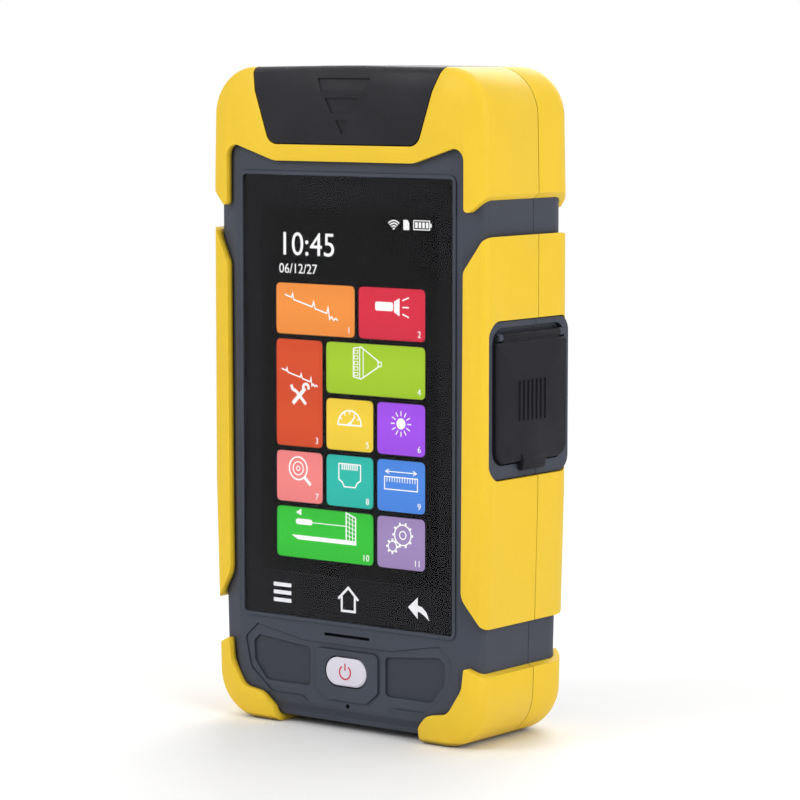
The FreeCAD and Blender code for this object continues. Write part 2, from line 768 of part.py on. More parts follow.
def lower_panel():
    """The sunk control panel round the button plate, and the deeper pads beside the plate."""
    front, step = BODY_FRONT - CUT, BODY_FRONT + PANEL_STEP
    near = BUTTON_W / 2
    edge = [(near + 2.0, PANEL_LOW / 2), (near + 8.2, PANEL_LOW), (EDGE - 19.4, PANEL_LOW),
            (EDGE - 12.3, BUTTON_Z - 2.0), (EDGE - 10.5, LENS_LOW - 6.9), (EDGE - 14.6, LENS_LOW - 3.1),
            (near + 7.4, LENS_LOW - 5.9)]
    field = prism("xz", wide(edge), wide_radii([1.0, 1.5, 2.5, 2.5, 1.5, 1.0, 1.0]), front, step)
    inner = near + PLATE_SIDE + PAD_GAP
    low = PANEL_LOW + 2.8
    pads = [(inner, low), (EDGE - 17.3, low), (EDGE - 13.3, BUTTON_Z), (EDGE - 13.1, LENS_LOW - 7.7),
            (EDGE - 14.9, LENS_LOW - 6.1), (inner, LENS_LOW - 7.7)]
    pad = prism("xz", pads, [1.2, 2.5, 2.0, 1.2, 1.0, 1.2], front, step + PAD_SINK)
    return field, pair(pad)


def button_plate():
    half = BUTTON_W / 2 + PLATE_SIDE
    points = [(half - 3.7, PANEL_LOW + PLATE_PROUD), (half, PANEL_LOW + 3.2), (half, LENS_LOW - 7.4)]
    return prism("xz", wide(points), wide_radii([1.0, 1.5, 1.5]), BODY_FRONT - PLATE_PROUD, INNER_FRONT)


def both_sides(places):
    return [(s * x, z) for x, z in places for s in (-1, 1)]


def screw_places():
    return both_sides(SCREW_AT)


def post_places():
    return both_sides([(POST_X, BOARD_LOW + POST_END), (POST_X, BOARD_TOP - POST_END)])


def front_shell():
    shell = BODY.common(front_half()).cut(CAVITY)
    root = INNER_FRONT - JOIN
    bosses = [along_y(BOSS_R, x, root, SEAM_Y, z) for x, z in screw_places()]
    posts = [along_y(POST_R, x, root, BOARD_Y, z) for x, z in post_places()]
    key_posts = [along_y(POST_R, x, root, KEY_Y, z) for x, z in both_sides([(KEY_POST_X, BUTTON_Z)])]
    rim = lens_box(BODY_FRONT - RIM_H, BODY_FRONT + JOIN, RIM_W)
    frames = [side_frame(s).common(front_half()) for s in (-1, 1)]
    field, pads = lower_panel()
    shell = shell.cut(field).fuse([button_plate(), rim] + bosses + posts + key_posts + frames)
    past = INNER_FRONT + CUT
    cuts = pads + [lens_box(FRONT - CUT, GLASS_Y, FIT), view_box(MASK_Y, past, GLASS_RIM + FIT),
                   pill(BUTTON_W + 2 * BUTTON_PLAY, BUTTON_TALL + 2 * BUTTON_PLAY, BUTTON_Z, FRONT, past),
                   pill(SLOT_W, SLOT_TALL, SLOT_Z, FRONT, past),
                   along_y(MICROPHONE_R, 0, FRONT, past, MICROPHONE_Z),
                   lid_seat(), tray_hole()]
    cuts += [side_recess(s) for s in (-1, 1)]
    cuts += [socket_space(NETWORK, -1)] + [socket_space(s, 1) for s in (USB, CHARGING, CARD)]
    cuts += [along_y(SCREW_R + PIN_FIT, x, INNER_FRONT + SCREW_START - CUT, SEAM_Y + CUT, z)
             for x, z in screw_places()]
    cuts += [along_y(BOARD_SCREW_R + PIN_FIT, x, past, BOARD_Y + CUT, z) for x, z in post_places()]
    return shell.cut(cuts)


# ---- rear shell ----
def stand_space(grow):
    """Pocket in the back for the kickstand."""
    half = STAND_W / 2 + grow
    top = STAND_PIN_Z + STAND_T / 2 + grow
    corner = STAND_R + grow
    return prism("xz", rect(-half, half, STAND_LOW - grow, top), [corner, corner, 1, 1],
                 BODY_BACK - STAND_SINK, BACK + PAST)


def stand_well():
    """Inner walls of the kickstand's pocket."""
    half = STAND_W / 2 + MOVE_GAP + STAND_FLOOR + STAND_WELL_WALL
    rise = MOVE_GAP + STAND_FLOOR
    return box(-half, half, BODY_BACK - STAND_SINK - STAND_FLOOR, INNER_BACK + JOIN, STAND_LOW - rise,
               STAND_PIN_Z + STAND_T / 2 + rise)


def cell_places():
    return [(CELL_Y, CELL_LOW_Z), (CELL_Y, CELL_LOW_Z + CELL_PITCH)]


def cradle():
    """Two upright ribs that the battery cells lie against."""
    ribs = []
    for s in (-1, 1):
        x = s * (CELL_LONG / 2 - RIB_IN)
        ribs.append(box(x - RIB_T / 2, x + RIB_T / 2, SEAM_Y, INNER_BACK, CELL_LOW_Z - CELL_R - RIB_RISE,
                        CELLS_TOP + RIB_RISE))
    cells = [along_x(CELL_R + CELL_SEAT, -CELL_LONG, CELL_LONG, y, z) for y, z in cell_places()]
    return Part.makeCompound(ribs).cut(cells)


def door_outline(gap, y0, y1, ledge=0.0):
    grow = gap - ledge
    half, tab_half = DOOR_W / 2 + grow, DOOR_TAB_W / 2 + grow
    plate = prism("xz", rect(-half, half, DOOR_LOW - grow, DOOR_TOP + grow), DOOR_R, y0, y1)
    tab = prism("xz", rect(-tab_half, tab_half, DOOR_TOP - PAST, DOOR_TAB_TOP + grow),
                [0, 0, DOOR_TAB_R, DOOR_TAB_R], y0, y1)
    return plate.fuse(tab)


def rear_shell():
    shell = BODY.common(back_half()).cut(CAVITY)
    root = INNER_BACK + JOIN
    bosses = [along_y(REAR_BOSS_R, x, SEAM_Y, root, z).common(BODY) for x, z in screw_places()]
    frames = [side_frame(s).common(back_half()) for s in (-1, 1)]
    door_post = along_y(DOOR_POST_R, 0, BODY_BACK - DOOR_SCREW_LONG - WALL, root, DOOR_SCREW_Z)
    stand_floor = BODY_BACK - STAND_SINK
    spool_post = along_y(SPOOL_BORE_R - FIT, 0, SPOOL_Y, stand_floor - JOIN, SPOOL_Z)
    frame = door_outline(DOOR_FRAME, INNER_BACK - CELL_GAP + SKIN_GAP, INNER_BACK + MOVE_GAP)
    shell = shell.fuse(bosses + frames + [stand_well(), trough(), frame, door_post, spool_post])
    above_cells = box(-FAR, FAR, -FAR, FAR, DOOR_TOP - DOOR_LEDGE, FAR)
    cuts = [stand_space(MOVE_GAP), lid_seat(), trough_space(), tray_hole(),
            door_outline(FIT, BODY_BACK - DOOR_LEDGE, BACK + CUT),
            door_outline(0, INNER_BACK - DOOR_FRAME, BACK + CUT, DOOR_LEDGE).cut(above_cells)]
    shell = shell.cut(cuts).fuse(lid_ears())
    stand_reach = STAND_W / 2 + STAND_PIN_OUT
    cuts = [Part.makeSphere(SCOOP_R, V(0, BODY_BACK + SCOOP_OUT, STAND_LOW + JOIN)),
            side_recess(1), side_recess(-1), socket_space(NETWORK, -1),
            along_x(LID_PIN_R + PIN_FIT, -LID_PIN_REACH, LID_PIN_REACH, HINGE_Y, HINGE_Z),
            along_x(STAND_PIN_R + PIN_FIT, -stand_reach, stand_reach, STAND_Y, STAND_PIN_Z),
            along_y(DOOR_SCREW_R + PIN_FIT, 0, BODY_BACK - DOOR_SCREW_LONG, BACK, DOOR_SCREW_Z)]
    for x, z in screw_places():
        cuts += [along_y(SCREW_R + SCREW_PLAY, x, SEAM_Y - CUT, BACK, z),
                 along_y(SCREW_HEAD_R + FIT, x, BODY_BACK - SCREW_SINK, BACK + CUT, z)]
    return shell.cut(cuts).fuse(cradle())


# ---- bumpers ----
def from_side(points, base, up=1):
    """Outline points given as (in from the case's side, up or down from base)."""
    return [(EDGE - x, base + up * z) for x, z in points]


def top_mask():
    wing = from_side(WING_EDGE, HEIGHT, -1)
    edge = [(LID_LOW_W / 2 - BRIDGE_SIDE, HEIGHT - BRIDGE_DROP)] + wing
    edge += [(EDGE + PAST, wing[-1][1]), (EDGE + PAST, HEIGHT + PAST)]
    return prism("xz", wide(edge), wide_radii([BRIDGE_R] + WING_EDGE_R + [0, 0]), FRONT - PAST, BACK + PAST)


def side_mask():
    low, top = from_side(SIDE_LOW_EDGE, 0), from_side(SIDE_TOP_EDGE, HEIGHT, -1)
    edge = low + [(EDGE + PAST, low[-1][1]), (EDGE + PAST, top[0][1])] + top
    return prism("xz", edge, SIDE_LOW_R + [0, 0] + SIDE_TOP_R, FRONT - PAST, BACK + PAST)


def foot_mask():
    points = from_side(FOOT_EDGE, 0)
    edge = points + [(points[-1][0], -PAST), (EDGE + PAST, -PAST), (EDGE + PAST, FOOT_SIDE_Z)]
    return prism("xz", edge, FOOT_EDGE_R + [0, 0, 0], FRONT - PAST, BACK + PAST)


def flap_opening():
    points = rect(-SURROUND_HALF, SURROUND_HALF, SURROUND_LOW, SURROUND_TOP)
    return prism("yz", points, SURROUND_R, BODY_HALF - PAST, WIDTH)


def top_bumper(half):
    notch = lid_prism(MOVE_GAP, HINGE_Y - BARREL_R)
    behind = lid_prism(MOVE_GAP, BACK + PAST, HINGE_Z - HINGE_DROP - RECESS_R)
    behind = behind.common(box(-FAR, FAR, HINGE_Y - BARREL_R - CUT, FAR, 0, FAR))
    return SKIN.common(top_mask()).common(half).cut([notch, behind])


def side_bumper(side, half):
    return on_side(SKIN.common(side_mask()).cut(flap_opening()), side).common(half)


def foot_bumper(side, half):
    return on_side(SKIN.common(foot_mask()), side).common(half)


# ---- display ----
def screen_lens():
    return lens_box(BODY_FRONT, MASK_Y)


def lens_mask():
    return lens_box(MASK_Y + TOUCH, GLASS_Y - TOUCH).cut(view_box(MASK_Y, GLASS_Y))


def lcd_panel():
    glass = view_box(GLASS_Y, INNER_FRONT, GLASS_RIM)
    back = view_box(INNER_FRONT, INNER_FRONT + LCD_T, LCD_EDGE)
    return glass.fuse(back)


def backlight_frame():
    y = INNER_FRONT + LCD_T
    tray = view_box(y, y + BACKLIGHT_T, LCD_EDGE)
    window = view_box(y + BACKLIGHT_T - BACKLIGHT_SINK, y + BACKLIGHT_T + CUT, -BACKLIGHT_RIM)
    return tray.cut(window)


def lcd_ribbon():
    y0, y1 = INNER_FRONT + LCD_T + BACKLIGHT_T, BOARD_Y
    lap, bend, thick = RIBBON_LAP, BOARD_LOW + 2 * RIBBON_LAP, RIBBON_T
    outer = [(y0, bend - 5 * lap), (y0 + thick, bend - 5 * lap), (y0 + thick, bend - lap), (y1, bend),
             (y1, bend + lap), (y1 - thick, bend + lap), (y1 - thick, bend + thick), (y0, bend - lap + thick)]
    return prism("yz", outer, 0, -RIBBON_W / 2, RIBBON_W / 2)


# ---- power button ----
def power_button():
    face, rear = BODY_FRONT - BUTTON_PROUD, FLANGE_Y + FLANGE_T
    cap = pill(BUTTON_W, BUTTON_TALL, BUTTON_Z, face, rear)
    cap = cap.makeChamfer(BUTTON_BEVEL, edges_at(cap, face))
    flange = pill(BUTTON_W + 2 * FLANGE_RIM, BUTTON_TALL + 2 * FLANGE_RIM, BUTTON_Z, FLANGE_Y, rear)
    stem = along_y(STEM_R, 0, FLANGE_Y, STEM_END, BUTTON_Z)
    return cap.fuse([flange, stem])


def power_switch():
    half = SWITCH_W / 2
    body = box(-half, half, SWITCH_TOP + PLUNGER_LONG, KEY_Y, BUTTON_Z - half, BUTTON_Z + half)
    plunger = along_y(PLUNGER_R, 0, SWITCH_TOP, KEY_Y - CUT, BUTTON_Z)
    return body.fuse(plunger)


def key_board():
    return box(-KEY_HALF, KEY_HALF, KEY_Y, KEY_Y + KEY_T, BUTTON_Z - KEY_HALF_TALL, BUTTON_Z + KEY_HALF_TALL)


def speaker():
    half = SPEAKER_W / 2
    back = INNER_FRONT + SPEAKER_T
    edge = rect(-half, half, SPEAKER_LOW, SPEAKER_LOW + SPEAKER_TALL)
    case = prism("xz", edge, SPEAKER_R, INNER_FRONT, back)
    magnet = along_y(MAGNET_R, 0, back - FIT, back + MAGNET_T, SPEAKER_Z)
    return case.fuse(magnet)


# ---- boards ----
def main_board():
    front, back = BOARD_Y - CUT, BOARD_BACK + CUT
    board = box(-BOARD_HALF, BOARD_HALF, BOARD_Y, BOARD_BACK, BOARD_LOW, BOARD_TOP)
    notches = [box(x - BOARD_NOTCH_W, x + BOARD_NOTCH_W, front, back, BOARD_LOW - CUT,
                   BOARD_LOW + BOARD_NOTCH) for x in (-BOARD_HALF, BOARD_HALF)]
    holes = [along_y(BOARD_SCREW_R + SKIN_GAP, x, front, back, z) for x, z in post_places()]
    return board.cut(notches + holes)


def board_screws():
    screws = []
    for x, z in post_places():
        head = along_y(BOARD_SCREW_HEAD_R, x, BOARD_BACK, BOARD_BACK + BOARD_SCREW_HEAD_T, z)
        shank = along_y(BOARD_SCREW_R, x, BOARD_BACK - BOARD_SCREW_LONG, BOARD_BACK + JOIN, z)
        screws.append(head.fuse(shank))
    return Part.makeCompound(screws)


def shield_can():
    can = box(-SHIELD_HALF, SHIELD_HALF, BOARD_BACK, BOARD_BACK + SHIELD_T, BOARD_LOW + SHIELD_LOW,
              MODULE_LOW - SHIELD_GAP)
    return can.makeFillet(SHIELD_R, edges_at(can, BOARD_BACK + SHIELD_T))


# ---- optics ----
def optical_module():
    block = box(-MODULE_HALF, MODULE_HALF, BOARD_BACK, MODULE_BACK, MODULE_LOW, MODULE_TOP)
    count = int(2 * MODULE_HALF / FIN_PITCH) - 1
    middles = [(i - (count - 1) / 2) * FIN_PITCH for i in range(count)]
    grooves = [box(x - FIN_GROOVE / 2, x + FIN_GROOVE / 2, MODULE_BACK - FIN_DEEP, MODULE_BACK + CUT,
                   MODULE_LOW - CUT, MODULE_TOP + CUT) for x in middles]
    return block.cut(grooves)


def port_places():
    return [(i * PORT_PITCH, PORT_Y) for i in (-1, 0, 1)]


def port_base(x, body_r):
    """Flanged body of an optical port: stub through the tray, flange, barrel and ferrule bore."""
    half = PORT_FLANGE_W / 2
    flange = prism("xy", rect(x - half, x + half, PORT_Y - half, PORT_Y + half), PORT_FLANGE_R, BAY_FLOOR,
                   BAY_FLOOR + PORT_FLANGE_T)
    barrel = rod(body_r, (x, PORT_Y, BAY_FLOOR), (x, PORT_Y, PORT_TOP))
    stub = rod(PORT_STUB_R, (x, PORT_Y, TRAY_LOW - PORT_STUB_LONG), (x, PORT_Y, BAY_FLOOR + CUT))
    bore = rod(FERRULE_R, (x, PORT_Y, PORT_TOP - FERRULE_DEEP), (x, PORT_Y, PORT_TOP + CUT))
    return flange.fuse([barrel, stub]).cut(bore)


def port_collar(x, radius, low):
    """Ring round a port's barrel, solid down to the ferrule's bore."""
    ring = rod(radius, (x, PORT_Y, low), (x, PORT_Y, low + COLLAR_TALL))
    return ring.cut(rod(FERRULE_R, (x, PORT_Y, low - CUT), (x, PORT_Y, low + COLLAR_TALL + CUT)))


def otdr_adapter():
    x = port_places()[0][0]
    key = box(x - KEY_W / 2, x + KEY_W / 2, PORT_Y - SCREW_PORT_R - CUT, PORT_Y - SCREW_PORT_R + CUT,
              PORT_TOP - KEY_TALL, PORT_TOP + CUT)
    return port_base(x, SCREW_PORT_R).cut(key)


def power_meter_adapter():
    x = port_places()[1][0]
    return port_base(x, METER_PORT_R).fuse(port_collar(x, METER_COLLAR_R, PORT_TOP - 3.5 * COLLAR_TALL))


def fault_locator_adapter():
    x = port_places()[2][0]
    return port_base(x, LOCATOR_PORT_R).fuse(port_collar(x, LOCATOR_RING_R, PORT_TOP - 4 * COLLAR_TALL))


def port_tray():
    half, wall = TRAY_W / 2, TRAY_WALL
    tray = box(-half, half, TRAY_FRONT, TRAY_BACK, TRAY_LOW, TRAY_TOP)
    hollow = prism("xy", rect(-half + wall, half - wall, TRAY_FRONT + wall, TRAY_BACK - wall), TRAY_R,
                   BAY_FLOOR, HEIGHT)
    rim_top = BODY_TOP - WALL - CROWN - SKIN_GAP
    rim = box(-half - TRAY_RIM, half + TRAY_RIM, TRAY_FRONT - TRAY_RIM, TRAY_BACK + TRAY_RIM,
              rim_top - TRAY_RIM, rim_top)
    holes = [rod(PORT_STUB_R + PIN_PLAY, (x, y, TRAY_LOW - CUT), (x, y, BAY_FLOOR + CUT))
             for x, y in port_places()]
    return tray.fuse(rim).cut([hollow] + holes)


def pigtail_fibres():
    fibres = []
    top = TRAY_LOW - PORT_STUB_LONG
    between = box(-FAR, FAR, -FAR, FAR, MODULE_TOP, top)
    for x, y in port_places():
        fibres.append(rod(FIBRE_R, (x * FIBRE_SPREAD, y, MODULE_TOP), (x, y, top)).common(between))
    return Part.makeCompound(fibres)


def ring(radius, bore, y0, y1, z):
    return along_y(radius, 0, y0, y1, z).cut(along_y(bore, 0, y0 - CUT, y1 + CUT, z))


def fibre_spool():
    end = SPOOL_Y + SPOOL_T
    hub = ring(SPOOL_HUB_R, SPOOL_BORE_R, SPOOL_Y, end, SPOOL_Z)
    cheeks = [ring(SPOOL_R, SPOOL_BORE_R, y, y + SPOOL_CHEEK, SPOOL_Z) for y in (SPOOL_Y, end - SPOOL_CHEEK)]
    return hub.fuse(cheeks)


def fibre_coil():
    cheek = SPOOL_CHEEK + TOUCH
    return ring(SPOOL_R - COIL_IN, SPOOL_HUB_R + TOUCH, SPOOL_Y + cheek, SPOOL_Y + SPOOL_T - cheek, SPOOL_Z)


# ---- battery ----
def battery_cells():
    half = CELL_LONG / 2
    cells = []
    for y, z in cell_places():
        can = along_x(CELL_R, -half, half - CELL_NUB, y, z)
        nub = along_x(CELL_NUB_R, half - CELL_NUB - SKIN_GAP, half, y, z)
        cells.append(can.fuse(nub))
    return Part.makeCompound(cells)


def battery_contacts():
    half = CELL_LONG / 2
    low, top = CELL_LOW_Z - CONTACT_W / 2, CELL_LOW_Z + CELL_PITCH + CONTACT_W / 2
    strips = [box(x, x + CONTACT_T, CELL_Y - CONTACT_W / 2, CELL_Y + CONTACT_W / 2, low, top)
              for x in (-half - SKIN_GAP - CONTACT_T, half + TOUCH)]
    return Part.makeCompound(strips)


def battery_lead():
    wires = []
    low = CELLS_TOP + LEAD_RISE
    under_board = box(-FAR, FAR, -FAR, FAR, 0, BOARD_LOW - MOVE_GAP)
    for x in (-LEAD_X, LEAD_X):
        wire = rod(LEAD_R, (x, CELL_Y - CELL_R + 2, low), (x, BOARD_BACK - LEAD_R, BOARD_LOW))
        wires.append(wire.common(under_board))
    return Part.makeCompound(wires)


def battery_door():
    plate = door_outline(0, BODY_BACK - DOOR_LEDGE + TOUCH, BACK + CUT).common(BODY)
    plug = door_outline(-FIT, INNER_BACK, BODY_BACK - JOIN, DOOR_LEDGE)
    plug = plug.common(box(-FAR, FAR, -FAR, FAR, 0, DOOR_TOP - DOOR_LEDGE - 2 * FIT))
    low = DOOR_LOW + GRIP_RISE
    grooves = [box(-GRIP_W / 2, GRIP_W / 2, BODY_BACK - GRIP_SINK, BACK, z, z + GRIP_T)
               for z in (low, low + GRIP_PITCH, low + 2 * GRIP_PITCH)]
    hole = along_y(DOOR_HOLE_R, 0, INNER_BACK, BACK, DOOR_SCREW_Z)
    return plate.fuse(plug).cut(grooves + [hole])


def battery_door_screw():
    head = along_y(DOOR_HEAD_R, 0, BODY_BACK, BODY_BACK + DOOR_HEAD_T, DOOR_SCREW_Z)
    shank = along_y(DOOR_SCREW_R, 0, BODY_BACK - DOOR_SCREW_LONG, BODY_BACK + FIT, DOOR_SCREW_Z)
    return head.fuse(shank)


def case_screws():
    screws = []
    seat = BODY_BACK - SCREW_SINK
    for x, z in screw_places():
        head = along_y(SCREW_HEAD_R, x, seat, seat + SCREW_HEAD_T, z)
        shank = along_y(SCREW_R, x, INNER_FRONT + SCREW_START, seat + FIT, z)
        screws.append(head.fuse(shank))
    return Part.makeCompound(screws)


# ---- side flaps ----
def flap_lip(x1):
    """Sealing lip behind a flap that plugs into the pocket."""
    def frame(inset):
        half = RECESS_HALF - LIP_GAP - inset
        return rect(-half, half, RECESS_LOW + LIP_GAP + inset, RECESS_TOP - LIP_GAP - inset)

    outer = prism("yz", frame(0), RECESS_R - LIP_GAP, RECESS_X + MOVE_GAP, x1)
    inner = prism("yz", frame(FLAP_LIP_T), RECESS_R - LIP_GAP - FLAP_LIP_T / 2, RECESS_X, x1)
    return outer.cut(inner)


def flap_nub(x0, x1):
    """Finger nub under a flap's free edge."""
    root, low = x0 + FLAP_T / 2 + FIT, FLAP_LOW - NUB_DROP
    top, face = low + NUB_TALL, x1 + NUB_PROUD
    points = [(root, low), (face - NUB_PROUD / 2, low), (face, FLAP_LOW + LIP_GAP), (x1 - FIT, top),
              (root, top)]
    return prism("xz", points, [0, NUB_R, NUB_R, 0, 0], -NUB_W / 2, NUB_W / 2)


def flap(side):
    x0 = BODY_HALF + FLAP_OFF
    x1 = x0 + FLAP_T
    half = FLAP_W / 2
    plate_top = FLAP_TOP - FLAP_BARREL_R - FIT
    plate = prism("yz", rect(-half, half, FLAP_LOW, plate_top), [FLAP_R, FLAP_R, 1.0, 1.0], x0, x1)
    plate = plate.makeChamfer(FLAP_BEVEL, edges_across(plate, x1))
    bar_half = FLAP_BARREL_W / 2
    barrel = rod(FLAP_BARREL_R, (FLAP_PIN_X, -bar_half, FLAP_TOP), (FLAP_PIN_X, bar_half, FLAP_TOP))
    neck = box(x0, x1 - FLAP_BEVEL, -bar_half, bar_half, plate_top - 2 * FLAP_BEVEL, FLAP_TOP)
    middle = (FLAP_LOW + plate_top) / 2 + FIT
    ridges = []
    for i in range(RIDGE_COUNT):
        y = (i - (RIDGE_COUNT - 1) / 2) * RIDGE_PITCH
        ridges.append(box(x1 - FIT, x1 + RIDGE_PROUD, y - RIDGE_W / 2, y + RIDGE_W / 2,
                          middle - RIDGE_TALL / 2, middle + RIDGE_TALL / 2))
    shape = plate.fuse([barrel, neck, flap_lip(x0 + FIT), flap_nub(x0, x1)] + ridges)
    bore = rod(FLAP_PIN_R + PIN_PLAY, (FLAP_PIN_X, -FLAP_W, FLAP_TOP), (FLAP_PIN_X, FLAP_W, FLAP_TOP))
    return on_side(shape.cut(bore), side)


def flap_pin(side):
    half = FLAP_BARREL_W / 2 + FIT + FLAP_EAR_T
    return rod(FLAP_PIN_R, (side * FLAP_PIN_X, -half, FLAP_TOP), (side * FLAP_PIN_X, half, FLAP_TOP))


# ---- kickstand ----
def kickstand():
    half, panel_half = STAND_W / 2, STAND_W / 2 - STAND_PANEL_SIDE
    y0, y1 = STAND_Y - STAND_T / 2, STAND_Y + STAND_T / 2
    leg = prism("xz", rect(-half, half, STAND_LOW, STAND_PIN_Z), [STAND_R, STAND_R, 0, 0], y0, y1)
    panel = prism("xz", rect(-panel_half, panel_half, STAND_LOW + STAND_PANEL_LOW,
                             STAND_PIN_Z - STAND_PANEL_TOP), STAND_R, y1 - STAND_PANEL_SINK, y1 + CUT)
    barrel = along_x(STAND_T / 2, -half, half, STAND_Y, STAND_PIN_Z)
    bore = along_x(STAND_PIN_R + PIN_PLAY, -FAR, FAR, STAND_Y, STAND_PIN_Z)
    return leg.cut(panel).fuse(barrel).cut(bore)


def kickstand_pin():
    half = STAND_W / 2 + STAND_PIN_OUT - PIN_PLAY
    return along_x(STAND_PIN_R, -half, half, STAND_Y, STAND_PIN_Z)


PIECES = {
    "front_shell": front_shell,
    "rear_shell": rear_shell,
    "screen_lens": screen_lens,
    "lens_mask": lens_mask,
    "lcd_panel": lcd_panel,
    "backlight_frame": backlight_frame,
    "lcd_ribbon": lcd_ribbon,
    "power_button": power_button,
    "power_switch": power_switch,
    "key_board": key_board,
    "speaker": speaker,
    "main_board": main_board,
    "board_screws": board_screws,
    "shield_can": shield_can,
    "optical_module": optical_module,
    "pigtail_fibres": pigtail_fibres,
    "otdr_adapter": otdr_adapter,
    "power_meter_adapter": power_meter_adapter,
    "fault_locator_adapter": fault_locator_adapter,
    "port_tray": port_tray,
    "fibre_spool": fibre_spool,
    "fibre_coil": fibre_coil,
    "port_lid": port_lid,
    "lid_hinge_pin": lid_hinge_pin,
    "network_socket": network_socket,
    "usb_socket": usb_socket,
    "charging_socket": charging_socket,
    "card_socket": card_socket,
    "battery_cells": battery_cells,
    "battery_contacts": battery_contacts,
    "battery_lead": battery_lead,
    "battery_door": battery_door,
    "battery_door_screw": battery_door_screw,
    "case_screws": case_screws,
    "kickstand": kickstand,
    "kickstand_pin": kickstand_pin,
}


def main():
    os.makedirs("parts", exist_ok=True)
    pieces = {name: make() for name, make in PIECES.items()}
    halves = {"front": front_half(SEAM_GAP), "rear": back_half(SEAM_GAP)}
    sides = {"left": -1, "right": 1}
    for end, half in halves.items():
        pieces[f"top_bumper_{end}"] = top_bumper(half)
        for name, side in sides.items():
            pieces[f"{name}_side_bumper_{end}"] = side_bumper(side, half)
            pieces[f"{name}_foot_bumper_{end}"] = foot_bumper(side, half)
    for name, side in sides.items():
        pieces[f"{name}_port_flap"] = flap(side)
        pieces[f"{name}_flap_pin"] = flap_pin(side)
    for name, shape in pieces.items():
        print(f"{name:28s} solids {len(shape.Solids)} valid {shape.isValid()} volume {shape.Volume:.0f}")
        shape.exportStep(f"parts/{name}.step")


main()
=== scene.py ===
"""Looks of the handheld optical time domain reflectometer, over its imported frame.

The frame is that of the solids: X to the right, +Y from the screen to the back, +Z up. Blender works
in metres. Named sizes are in millimetres and become metres through MM, apart from those of the stage.
"""

import json
import math

import bmesh
import bpy
from mathutils import Matrix, Vector

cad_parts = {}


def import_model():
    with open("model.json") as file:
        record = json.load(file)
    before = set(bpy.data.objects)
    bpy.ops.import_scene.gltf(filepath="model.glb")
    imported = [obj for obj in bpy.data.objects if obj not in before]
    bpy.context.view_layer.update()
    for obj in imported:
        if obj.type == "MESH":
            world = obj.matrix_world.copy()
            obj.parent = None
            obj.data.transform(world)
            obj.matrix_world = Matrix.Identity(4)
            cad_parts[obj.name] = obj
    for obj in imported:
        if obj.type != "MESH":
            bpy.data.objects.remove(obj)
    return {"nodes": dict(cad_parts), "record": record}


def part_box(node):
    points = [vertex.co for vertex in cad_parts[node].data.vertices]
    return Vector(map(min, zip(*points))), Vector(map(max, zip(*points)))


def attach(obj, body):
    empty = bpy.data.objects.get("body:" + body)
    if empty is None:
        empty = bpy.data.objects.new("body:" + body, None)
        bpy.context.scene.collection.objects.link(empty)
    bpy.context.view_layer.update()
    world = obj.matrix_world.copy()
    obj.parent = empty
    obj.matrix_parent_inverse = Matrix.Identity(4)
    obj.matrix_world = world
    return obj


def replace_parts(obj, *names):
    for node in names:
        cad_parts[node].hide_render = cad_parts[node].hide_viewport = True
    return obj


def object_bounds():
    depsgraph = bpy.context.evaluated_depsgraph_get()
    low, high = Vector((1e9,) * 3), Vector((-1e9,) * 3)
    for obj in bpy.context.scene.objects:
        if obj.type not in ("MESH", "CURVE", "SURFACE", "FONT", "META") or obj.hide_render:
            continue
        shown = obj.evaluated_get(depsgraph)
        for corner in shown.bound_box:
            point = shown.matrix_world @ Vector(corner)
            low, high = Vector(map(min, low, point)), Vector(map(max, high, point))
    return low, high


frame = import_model()
cad_low, cad_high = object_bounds()

MM = 0.001
MICRON = 0.001 * MM
BODY_OF = {node: body for body, nodes in frame["record"]["behaviour"]["bodies"].items() for node in nodes}
SLOT_OF = {part["node"]: part["material_slot"] for part in frame["record"]["subparts"]}


# ---- places, in millimetres, read from the frame ----
class Span:
    """Lowest and highest corner of a node, in millimetres."""

    def __init__(self, node):
        low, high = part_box(node)
        self.x0, self.y0, self.z0 = (v / MM for v in low)
        self.x1, self.y1, self.z1 = (v / MM for v in high)

    def middle(self):
        return (self.x0 + self.x1) / 2, (self.y0 + self.y1) / 2, (self.z0 + self.z1) / 2


LENS = Span("screen_lens")
PANEL = Span("lcd_panel")
BUTTON = Span("power_button")
NETWORK = Span("network_socket")
USB = Span("usb_socket")
STAND = Span("kickstand")
SEAM = Span("rear_shell").y0


# ---- colours ----
def colour(red, green, blue):
    """Linear colour from the 0 to 255 values of a swatch."""
    def linear(value):
        value /= 255
        return value / 12.92 if value <= 0.04045 else ((value + 0.055) / 1.055) ** 2.4
    return linear(red), linear(green), linear(blue), 1.0


def shade(tone, amount):
    """The same colour, darker below 1 and lighter above it."""
    return tuple(min(1.0, c * amount) for c in tone[:3]) + (1.0,)


WHITE = (1.0, 1.0, 1.0, 1.0)
SLATE = colour(62, 66, 77)
GOLD = colour(231, 193, 50)
LID_BLACK = colour(34, 34, 38)
FLAP_BLACK = colour(30, 30, 35)
GLOSS_BLACK = colour(16, 16, 19)
PANEL_DARK = colour(4, 4, 5)
BUTTON_WHITE = colour(214, 210, 222)
SYMBOL_RED = colour(196, 40, 66)


# ---- shader node helpers ----
def node(tree, kind, **settings):
    """New node of a tree, with these settings."""
    made = tree.nodes.new(kind)
    for name, value in settings.items():
        setattr(made, name, value)
    return made


def link(tree, source, target):
    tree.links.new(source, target)


